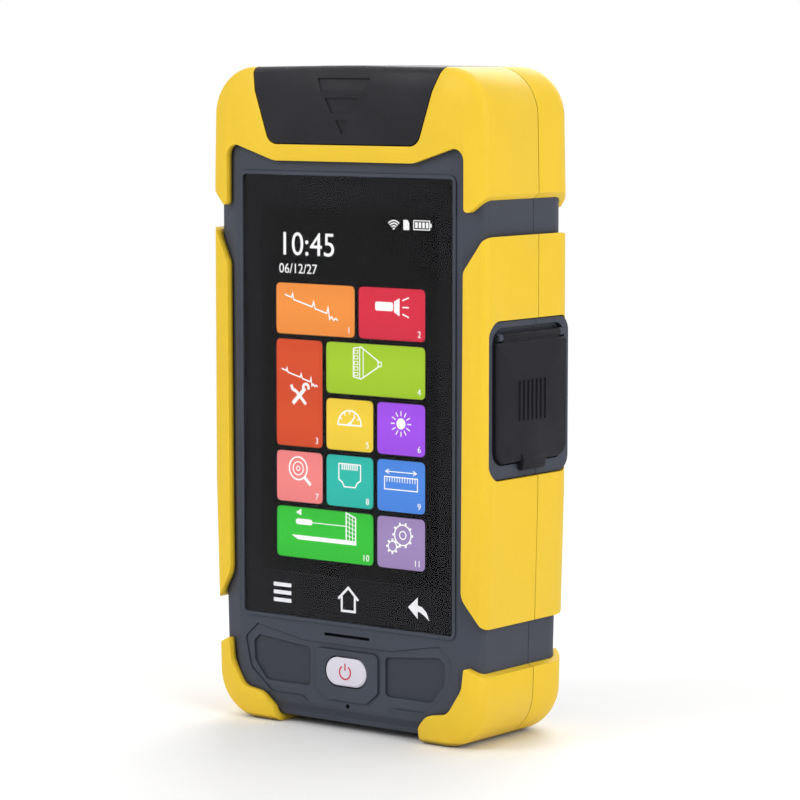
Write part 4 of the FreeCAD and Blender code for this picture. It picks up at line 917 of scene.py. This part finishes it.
def icon_range(m):
    m.x -= 0.2
    m.z += 0.5
    m.bar(-8.2, -3.4, 0.9, 2.2, 0.6)
    m.line([(-3.4, 1.55), (6.2, 1.55)], 0.18)
    m.plate([(-9.4, -1.6), (9.3, -1.6), (9.3, -2.6), (-7.6, -2.6)])
    m.line([(6.4, -1.6), (6.4, 4.6), (9.1, 3.6), (9.1, -2.4)], 0.3)
    for i in range(5):
        m.line([(6.5, -0.5 + 1.05 * i), (9.0, -1.1 + 0.95 * i)], 0.14)
    m.line([(7.3, 4.1), (7.3, -1.8)], 0.14)
    m.line([(8.2, 3.9), (8.2, -2.1)], 0.14)
    m.plate([(-8.2, 3.6), (-6.6, 4.5), (-6.6, 3.0)])


def icon_settings(m):
    m.z += 0.7
    m.arc(*BIG_GEAR, 2.3, 0.3)
    m.arc(*BIG_GEAR, 0.9, 0.25, steps=20)
    m.arc(*SMALL_GEAR, 1.15, 0.25, steps=20)


# (name, icon, first column, columns, first row, rows, colour)
TILES = [
    ("trace", icon_trace, 0, 1.64, 4, 1, colour(244, 147, 64)),
    ("torch", icon_torch, 1.64, 1.36, 4, 1, colour(217, 45, 67)),
    ("tools", icon_tools, 0, 1, 2, 2, colour(214, 77, 38)),
    ("event", icon_event, 1, 2, 3, 1, colour(164, 203, 42)),
    ("meter", icon_meter, 1, 1, 2, 1, colour(243, 208, 62)),
    ("source", icon_source, 2, 1, 2, 1, colour(162, 80, 235)),
    ("finder", icon_finder, 0, 1, 1, 1, colour(242, 134, 132)),
    ("socket", icon_socket, 1, 1, 1, 1, colour(44, 186, 171)),
    ("length", icon_length, 2, 1, 1, 1, colour(75, 136, 226)),
    ("range", icon_range, 0, 2, 0, 1, colour(51, 192, 55)),
    ("settings", icon_settings, 2, 1, 0, 1, colour(158, 135, 186)),
]


def icon_repeats(name, icon, ink):
    """Rays, teeth, contacts and ticks of the icons that have them, as meshes in their places."""
    size, deep = ICON_SCALE * MM, (MARK_BACK - MARK_FRONT) * MM
    if name == "source":
        rays = RAY_RING.grow(ink, Inner=1.75 * size, Long=1.1 * size, Wide=0.24 * size, Thick=deep,
                             Count=12)
        return [moved(rays, icon.x, MARK_MIDDLE, icon.z)]
    if name == "settings":
        gears = []
        for x, z, inner, count in ((*BIG_GEAR, 2.35, 10), (*SMALL_GEAR, 1.2, 8)):
            teeth = RAY_RING.grow(ink, Inner=inner * size, Long=0.55 * size, Wide=0.5 * size, Thick=deep,
                                  Count=count)
            gears.append(moved(teeth, icon.x + x * ICON_SCALE, MARK_MIDDLE, icon.z + z * ICON_SCALE))
        return gears
    if name == "socket":
        pins = BAR_ROW.grow(ink, Pitch=0.68 * MM, Wide=0.34 * MM, Deep=deep, Tall=1.5 * MM, Count=8)
        return [moved(pins, icon.x, MARK_MIDDLE, icon.z + 1.9 * ICON_SCALE)]
    if name == "length":
        ticks = BAR_ROW.grow(ink, Pitch=0.8 * MM, Wide=0.18 * MM, Deep=deep, Tall=1.2 * MM, Count=12)
        return [moved(ticks, icon.x, MARK_MIDDLE, icon.z + 0.3 * ICON_SCALE)]
    return []


def picture_tiles(ink):
    """Coloured tiles, each with its line icon and a plain numeral in its lower corner."""
    marks, meshes = Marks(), []
    for number, (name, draw, first, columns, row, rows, tone) in enumerate(TILES, 1):
        x0, x1, z0, z1 = tile_box(first, columns, row, rows)
        tile = Marks()
        tile.bar(x0, x1, z0, z1, TILE_R)
        shape = tile.mesh("tile_" + name, TILE_FRONT, TILE_BACK)
        add_piece("tile_" + name, shape, lit("lit " + name, tone), "case")
        rise = ICON_RISE if rows == 1 else TALL_ICON_RISE
        icon = Marks((x0 + x1) / 2, (z0 + z1) / 2 + rise, ICON_SCALE)
        draw(icon)
        marks.add(icon)
        meshes.append(numeral_mesh(str(number), TILE_NUMERAL, x1 - NUMERAL_IN, z0 + NUMERAL_UP, "RIGHT"))
        meshes += icon_repeats(name, icon, ink)
    return marks, meshes


def status_line(marks):
    """Radio arcs, card and battery at the top right of the picture."""
    z = VIEW_LOW + STATUS_RISE
    radio = Marks(RADIO_X, z)
    radio.disc(0, 0.25, 0.28, 14)
    for radius in (0.95, 1.6, 2.25):
        radio.arc(0, 0, radius, 0.32, 42, 138, 10)
    card = Marks(CARD_X, z)
    card.plate([(0, 0), (1.8, 0), (1.8, 1.8), (1.2, 2.5), (0, 2.5)])
    battery = Marks(BATTERY_X, z)
    battery.outline(0, 4.9, 0.2, 2.4, 0.25)
    battery.bar(5.1, 5.5, 0.8, 1.8)
    for i in range(4):
        battery.bar(0.45 + 1.1 * i, 1.2 + 1.1 * i, 0.6, 2.0)
    for piece in (radio, card, battery):
        marks.add(piece)


def lit_picture():
    """Lit menu behind the glass: tiles, status marks, clock and date."""
    ink = lit("lit white", colour(250, 250, 250))
    marks, meshes = picture_tiles(ink)
    status_line(marks)
    meshes.append(numeral_mesh("10:45", CLOCK_SIZE, COLUMN_START + 0.7, VIEW_LOW + CLOCK_RISE))
    meshes.append(numeral_mesh("06/12/27", DATE_SIZE, COLUMN_START + 0.9, VIEW_LOW + DATE_RISE))
    meshes.append(marks.mesh("marks", MARK_FRONT, MARK_BACK))
    add_piece("picture_marks", join_meshes("picture_marks", meshes), ink, "case")


# ---- marks on the glass and on the button ----
TOUCH_RISE = 5.5
TOUCH_STROKE = 0.62
MENU_X = -21.5
BACK_X = 22.4
SYMBOL_R = 1.75
SYMBOL_STROKE = 0.42


def touch_marks():
    """Menu, home and back marks printed behind the glass, below the picture."""
    menu, home, back = (Marks(x, LENS.z0 + TOUCH_RISE) for x in (MENU_X, 0.0, BACK_X))
    for i in (-1, 0, 1):
        menu.bar(-2.9, 2.9, 2.0 * i - 0.5, 2.0 * i + 0.5)
    home.line([(-3.2, 0.2), (0, 3.2), (3.2, 0.2)], TOUCH_STROKE)
    home.line([(-2.1, 0.9), (-2.1, -2.8), (2.1, -2.8), (2.1, 0.9)], TOUCH_STROKE)
    back.plate([(-3.4, 0.2), (-0.4, 2.9), (-0.4, -2.5)])
    back.plate([(-0.5, 0.9), (0.9, 0.6), (2.3, -0.6), (3.2, -2.7), (1.8, -1.6), (0.6, -0.9), (-0.5, -0.6)])
    menu.add(home)
    menu.add(back)
    shape = menu.mesh("touch_marks", LENS.y1 - 0.06, LENS.y1 - 0.01)
    add_piece("touch_marks", shape, GLOWING_TOUCH_INK, "case")


def power_symbol():
    """Ring with a gap and an upright stroke, printed on the button's face."""
    m = Marks(0, BUTTON.middle()[2])
    m.arc(0, 0, SYMBOL_R, SYMBOL_STROKE, 125, 415, 30)
    m.line([(0, 0.5), (0, 2.3)], SYMBOL_STROKE)
    shape = m.mesh("power_symbol", BUTTON.y0 - 0.03, BUTTON.y0 + 0.05)
    add_piece("power_symbol", shape, SYMBOL_INK, "button")


# ---- sockets, ports and fasteners ----
SPRINGS_IN = 6.0
SPRINGS_BACK = 3.2
BLADES_IN = 4.4
BLADES_LIFT = 0.08
TONGUE_SUNK = 0.6
TONGUE_LONG = 8.0
TONGUE_THICK = 1.95
TONGUE_HALF = 5.65
UPRIGHT = Matrix.Rotation(math.pi / 2, 4, "Y")
SPRUNG = Matrix.Rotation(math.radians(14), 4, "Z") @ UPRIGHT


def block_mesh(low, high, radius):
    """Block between two corners, its edges broken to a radius."""
    body = bmesh.new()
    bmesh.ops.create_cube(body, size=1.0)
    centre, size = (Vector(low) + Vector(high)) / 2, Vector(high) - Vector(low)
    for v in body.verts:
        v.co = (centre + Vector(a * b for a, b in zip(v.co, size))) * MM
    bmesh.ops.bevel(body, geom=body.edges[:], offset=radius * MM, segments=2, profile=0.5, affect="EDGES")
    bmesh.ops.recalc_face_normals(body, faces=body.faces)
    return shape_from(body, "block")


def socket_contacts():
    """Sprung contacts in the network socket, and the host socket's white tongue with its blades."""
    springs = BAR_ROW.grow(CONTACT_GOLD, Pitch=1.02 * MM, Wide=0.4 * MM, Deep=0.3 * MM, Tall=7.0 * MM,
                           Count=8)
    moved(springs, NETWORK.x0 + SPRINGS_IN, NETWORK.y0 + SPRINGS_BACK, NETWORK.middle()[2], SPRUNG)
    add_piece("network_contacts", springs, None, "case")
    y, z = USB.middle()[1:]
    tip = USB.x1 - TONGUE_SUNK
    tongue = block_mesh((tip - TONGUE_LONG, y - TONGUE_THICK, z - TONGUE_HALF),
                        (tip, y + 0.04, z + TONGUE_HALF), 0.15)
    add_piece("host_tongue", tongue, INSERT_WHITE, "case")
    blades = BAR_ROW.grow(CONTACT_GOLD, Pitch=2.4 * MM, Wide=1.1 * MM, Deep=0.12 * MM, Tall=6.4 * MM,
                          Count=4)
    moved(blades, USB.x1 - BLADES_IN, y + BLADES_LIFT, z, UPRIGHT)
    add_piece("host_contacts", blades, None, "case")


def turned(name, section, steps=40):
    """Mesh turned about an upright axis from the closed (radius, height) outline of its section."""
    body = bmesh.new()
    loops = [[body.verts.new(Vector((r * math.cos(a), r * math.sin(a), z)) * MM) for r, z in section]
             for a in angles(steps)]
    for i in range(steps):
        band(body, loops[i], loops[(i + 1) % steps])
    bmesh.ops.remove_doubles(body, verts=body.verts, dist=0.001 * MM)
    bmesh.ops.recalc_face_normals(body, faces=body.faces)
    return shape_from(body, name, smooth=True)


SCOOP_R = 9.05
SCOOP_OUT = 5.8
SCOOP_RISE = 0.5
SCOOP_SPAN = 22.5
SCOOP_DIP = 23.0
CUP_WALL = 0.5


def scoop_cup():
    """Thin cup that lines the bottom of the finger scoop under the kickstand."""
    bowl = sweep(90.0, 90.0 - SCOOP_SPAN, 6)
    section = points_round(0, 0, SCOOP_R, bowl) + points_round(0, 0, SCOOP_R + CUP_WALL, bowl[::-1])
    inward = Matrix.Rotation(math.radians(90 + SCOOP_DIP), 4, "X")
    cup = moved(turned("scoop_cup", section), 0, STAND.y1 + SCOOP_OUT, STAND.z0 + SCOOP_RISE, inward)
    add_piece("scoop_cup", cup, SLATE_SHELL, "case")


SLEEVE_BORE = 1.27
SLEEVE_R = 1.95
SLEEVE_SUNK = 0.3
THREAD_R = 4.0
THREAD_LONG = 4.0
THREAD_DOWN = 0.6


def port_details():
    """Screw thread on the measuring port and a ceramic sleeve in each port's bore."""
    thread = SCREW_THREAD.grow(NICKEL, Radius=THREAD_R * MM, Ridge=0.16 * MM, Height=THREAD_LONG * MM,
                               Turns=8)
    thread.shade_smooth()
    for name in ("otdr_adapter", "power_meter_adapter", "fault_locator_adapter"):
        port = Span(name)
        x, y, _ = port.middle()
        if name == "otdr_adapter":
            moved(thread, x, y, port.z1 - THREAD_DOWN - THREAD_LONG)
            add_piece("port_thread", thread, None, "case")
        foot, top = port.z1 - SLEEVE_SUNK, port.z1 + 0.05
        section = [(SLEEVE_BORE, foot), (SLEEVE_BORE, top + 0.05), (1.4, top + 0.15), (1.85, top + 0.15),
                   (SLEEVE_R, top), (SLEEVE_R, foot)]
        sleeve = name.replace("adapter", "sleeve")
        add_piece(sleeve, moved(turned(sleeve, section), x, y, 0), CERAMIC, "case")


def cross_screw(radius, thick, shank, length):
    """Screw with a cross recess, its axis along Y and its face towards +Y at the origin."""
    body = bmesh.new()
    levels = [(shank * 0.5, -length), (shank, shank * 0.6 - length), (shank, -thick), (radius, -thick),
              (radius, -0.15 * thick), (radius * 0.92, 0.0)]
    loops = [[body.verts.new(Vector((x, y, z)) * MM) for x, z in points_round(0, 0, r, angles(24))]
             for r, y in levels]
    for low, high in zip(loops, loops[1:]):
        band(body, low, high)
    body.faces.new(loops[0])
    arm, width, deep = radius * 0.62, radius * 0.19, thick * 0.75
    cross = []
    for quarter in range(4):
        corner = Matrix.Rotation(quarter * math.pi / 2, 2)
        cross += [corner @ Vector(place) for place in ((width, width), (width, arm), (-width, arm))]
    mouth, pit = ([body.verts.new(Vector((c.x * wide, -low, c.y * wide)) * MM) for c in cross]
                  for wide, low in ((1.0, 0.0), (0.6, deep)))
    band(body, pit, mouth)
    body.faces.new(pit[::-1])
    edges = [body.edges.get((run[i - 1], run[i])) for run in (loops[-1], mouth) for i in range(len(run))]
    bmesh.ops.triangle_fill(body, edges=edges, use_beauty=True)
    bmesh.ops.recalc_face_normals(body, faces=body.faces)
    return shape_from(body, "screw", smooth=True)


SCREW_REACH = 4.0
FACE_REACH = 0.02


def screw_centres(name):
    """Middle of each separate screw of a node, at its rearmost plane."""
    source = frame["nodes"][name].data
    far = max(v.co.y for v in source.vertices)
    screws = []
    for v in source.vertices:
        if far - v.co.y > FACE_REACH * MM:
            continue
        place = Vector((v.co.x, v.co.z))
        near = [screw for screw in screws if (place - screw[0] / screw[1]).length < SCREW_REACH * MM]
        if near:
            near[0][0] += place
            near[0][1] += 1
        else:
            screws.append([place, 1])
    return [(total.x / count, far, total.y / count) for total, count in screws]


# (node, radius and thickness of the head, radius of the shank)
SCREWS = [("case_screws", 2.2, 1.6, 1.0), ("battery_door_screw", 2.1, 0.9, 0.9)]


def fasteners():
    """Cross-recessed screws in place of the plain ones of the case and the battery door."""
    for name, radius, thick, shank in SCREWS:
        span = Span(name)
        screw = in_scene("screw", cross_screw(radius, thick, shank, span.y1 - span.y0))
        points = bpy.data.meshes.new("points")
        points.from_pydata(screw_centres(name), [], [])
        screws = FASTENER_SET.grow(BARE_STEEL, points, Screw=screw)
        bpy.data.objects.remove(screw)
        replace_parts(add_piece(name + "_cut", screws, None, "case"), name)


# ---- stage: places and sizes in metres, angles in degrees, the camera's lens in millimetres ----
CAMERA_AZIMUTH = 37.4
CAMERA_RISE = 5.8
CAMERA_AWAY = 0.85
CAMERA_LENS = 150.0
CAMERA_AIM = Vector((0.003, 0.0, 0.0835))
LIGHT_AIM = (0.0, 0.0, 0.09)
# (name, place, width, height, watts)
LIGHTS = [
    ("key", (-0.55, -1.1, 0.95), 0.8, 0.8, 9.5),
    ("side", (1.25, -0.35, 0.6), 0.7, 0.9, 8.5),
    ("overhead", (0.1, 0.3, 1.4), 1.2, 1.2, 7.5),
    ("rear", (-0.6, 1.2, 0.8), 0.9, 0.9, 7.5),
]
WORLD_LIGHT = 0.42
FLOOR_RINGS = (0.4, 1.2, 4.0, 9.0)
FLOOR_STEPS = 48
FLOOR_DROP = 0.0001
FADE_START = 0.12
FADE_END = 0.55


def aim(thing, place, target):
    """Puts a camera or a light at a place and turns it to a target."""
    thing.location = place
    thing.rotation_mode = "QUATERNION"
    thing.rotation_quaternion = (Vector(target) - Vector(place)).to_track_quat("-Z", "Y")


def camera():
    data = bpy.data.cameras.new("camera")
    data.lens = CAMERA_LENS
    data.clip_start = 0.01
    data.clip_end = 50.0
    thing = in_scene("camera", data)
    a, e = math.radians(CAMERA_AZIMUTH), math.radians(CAMERA_RISE)
    back = Vector((math.sin(a) * math.cos(e), -math.cos(a) * math.cos(e), math.sin(e)))
    aim(thing, CAMERA_AIM + back * CAMERA_AWAY, CAMERA_AIM)
    bpy.context.scene.camera = thing


def lights():
    """Four soft boxes that the camera doesn't see."""
    for name, place, width, height, watts in LIGHTS:
        data = bpy.data.lights.new(name, "AREA")
        data.shape = "RECTANGLE"
        data.size = width
        data.size_y = height
        data.energy = watts
        thing = in_scene(name, data)
        aim(thing, place, LIGHT_AIM)
        thing.visible_camera = False


def rays_seen(tree, *kinds):
    """1 for a ray of any of these kinds, 0 for the others."""
    path = node(tree, "ShaderNodeLightPath")
    seen = path.outputs[kinds[0]]
    for kind in kinds[1:]:
        seen = calculate(tree, "MAXIMUM", seen, path.outputs[kind])
    return seen


def floor_finish():
    """Pale matt floor that fades to plain white away from the object."""
    material, tree, shader = blank("pale floor")
    pale = mix(tree, "RGBA", noise(tree, 30.0, 3.0), shade(WHITE, 0.86), shade(WHITE, 0.9))
    dress(tree, shader, Base_Color=pale, Roughness=0.7)
    away = node(tree, "ShaderNodeVectorMath", operation="LENGTH")
    link(tree, object_place(tree), away.inputs[0])
    fade = remap(tree, away.outputs["Value"], FADE_START, FADE_END)
    blend = node(tree, "ShaderNodeMixShader")
    sources = (product(tree, fade, rays_seen(tree, "Is Camera Ray", "Is Glossy Ray")), shader.outputs[0],
               node(tree, "ShaderNodeEmission").outputs[0])
    for socket, source in zip(blend.inputs, sources):
        link(tree, source, socket)
    link(tree, blend.outputs[0], tree.nodes["Material Output"].inputs["Surface"])
    return material


def floor():
    """Round floor just under the object, which keeps its shadow."""
    body = bmesh.new()
    centre = body.verts.new((0, 0, 0))
    rings = [[body.verts.new((*place, 0)) for place in points_round(0, 0, radius, angles(FLOOR_STEPS))]
             for radius in FLOOR_RINGS]
    for i in range(FLOOR_STEPS):
        body.faces.new([centre, rings[0][i], rings[0][(i + 1) % FLOOR_STEPS]])
    for inner, outer in zip(rings, rings[1:]):
        band(body, inner, outer)
    thing = in_scene("floor", shape_from(body, "floor"))
    thing.location.z = cad_low.z - FLOOR_DROP
    paint(thing, floor_finish())


def world():
    """White to the eye, in gloss and through glass, softer as a light."""
    studio = bpy.data.worlds.new("studio")
    bpy.context.scene.world = studio
    studio.use_nodes = True
    tree = studio.node_tree
    background = tree.nodes["Background"]
    seen = rays_seen(tree, "Is Camera Ray", "Is Glossy Ray", "Is Transmission Ray")
    link(tree, remap(tree, seen, 0.0, 1.0, WORLD_LIGHT, 1.0), background.inputs["Strength"])
    background.inputs["Color"].default_value = WHITE


bpy.context.scene.view_settings.view_transform = "Standard"
dress_frame()
lit_picture()
touch_marks()
power_symbol()
socket_contacts()
port_details()
scoop_cup()
fasteners()
camera()
lights()
floor()
world()
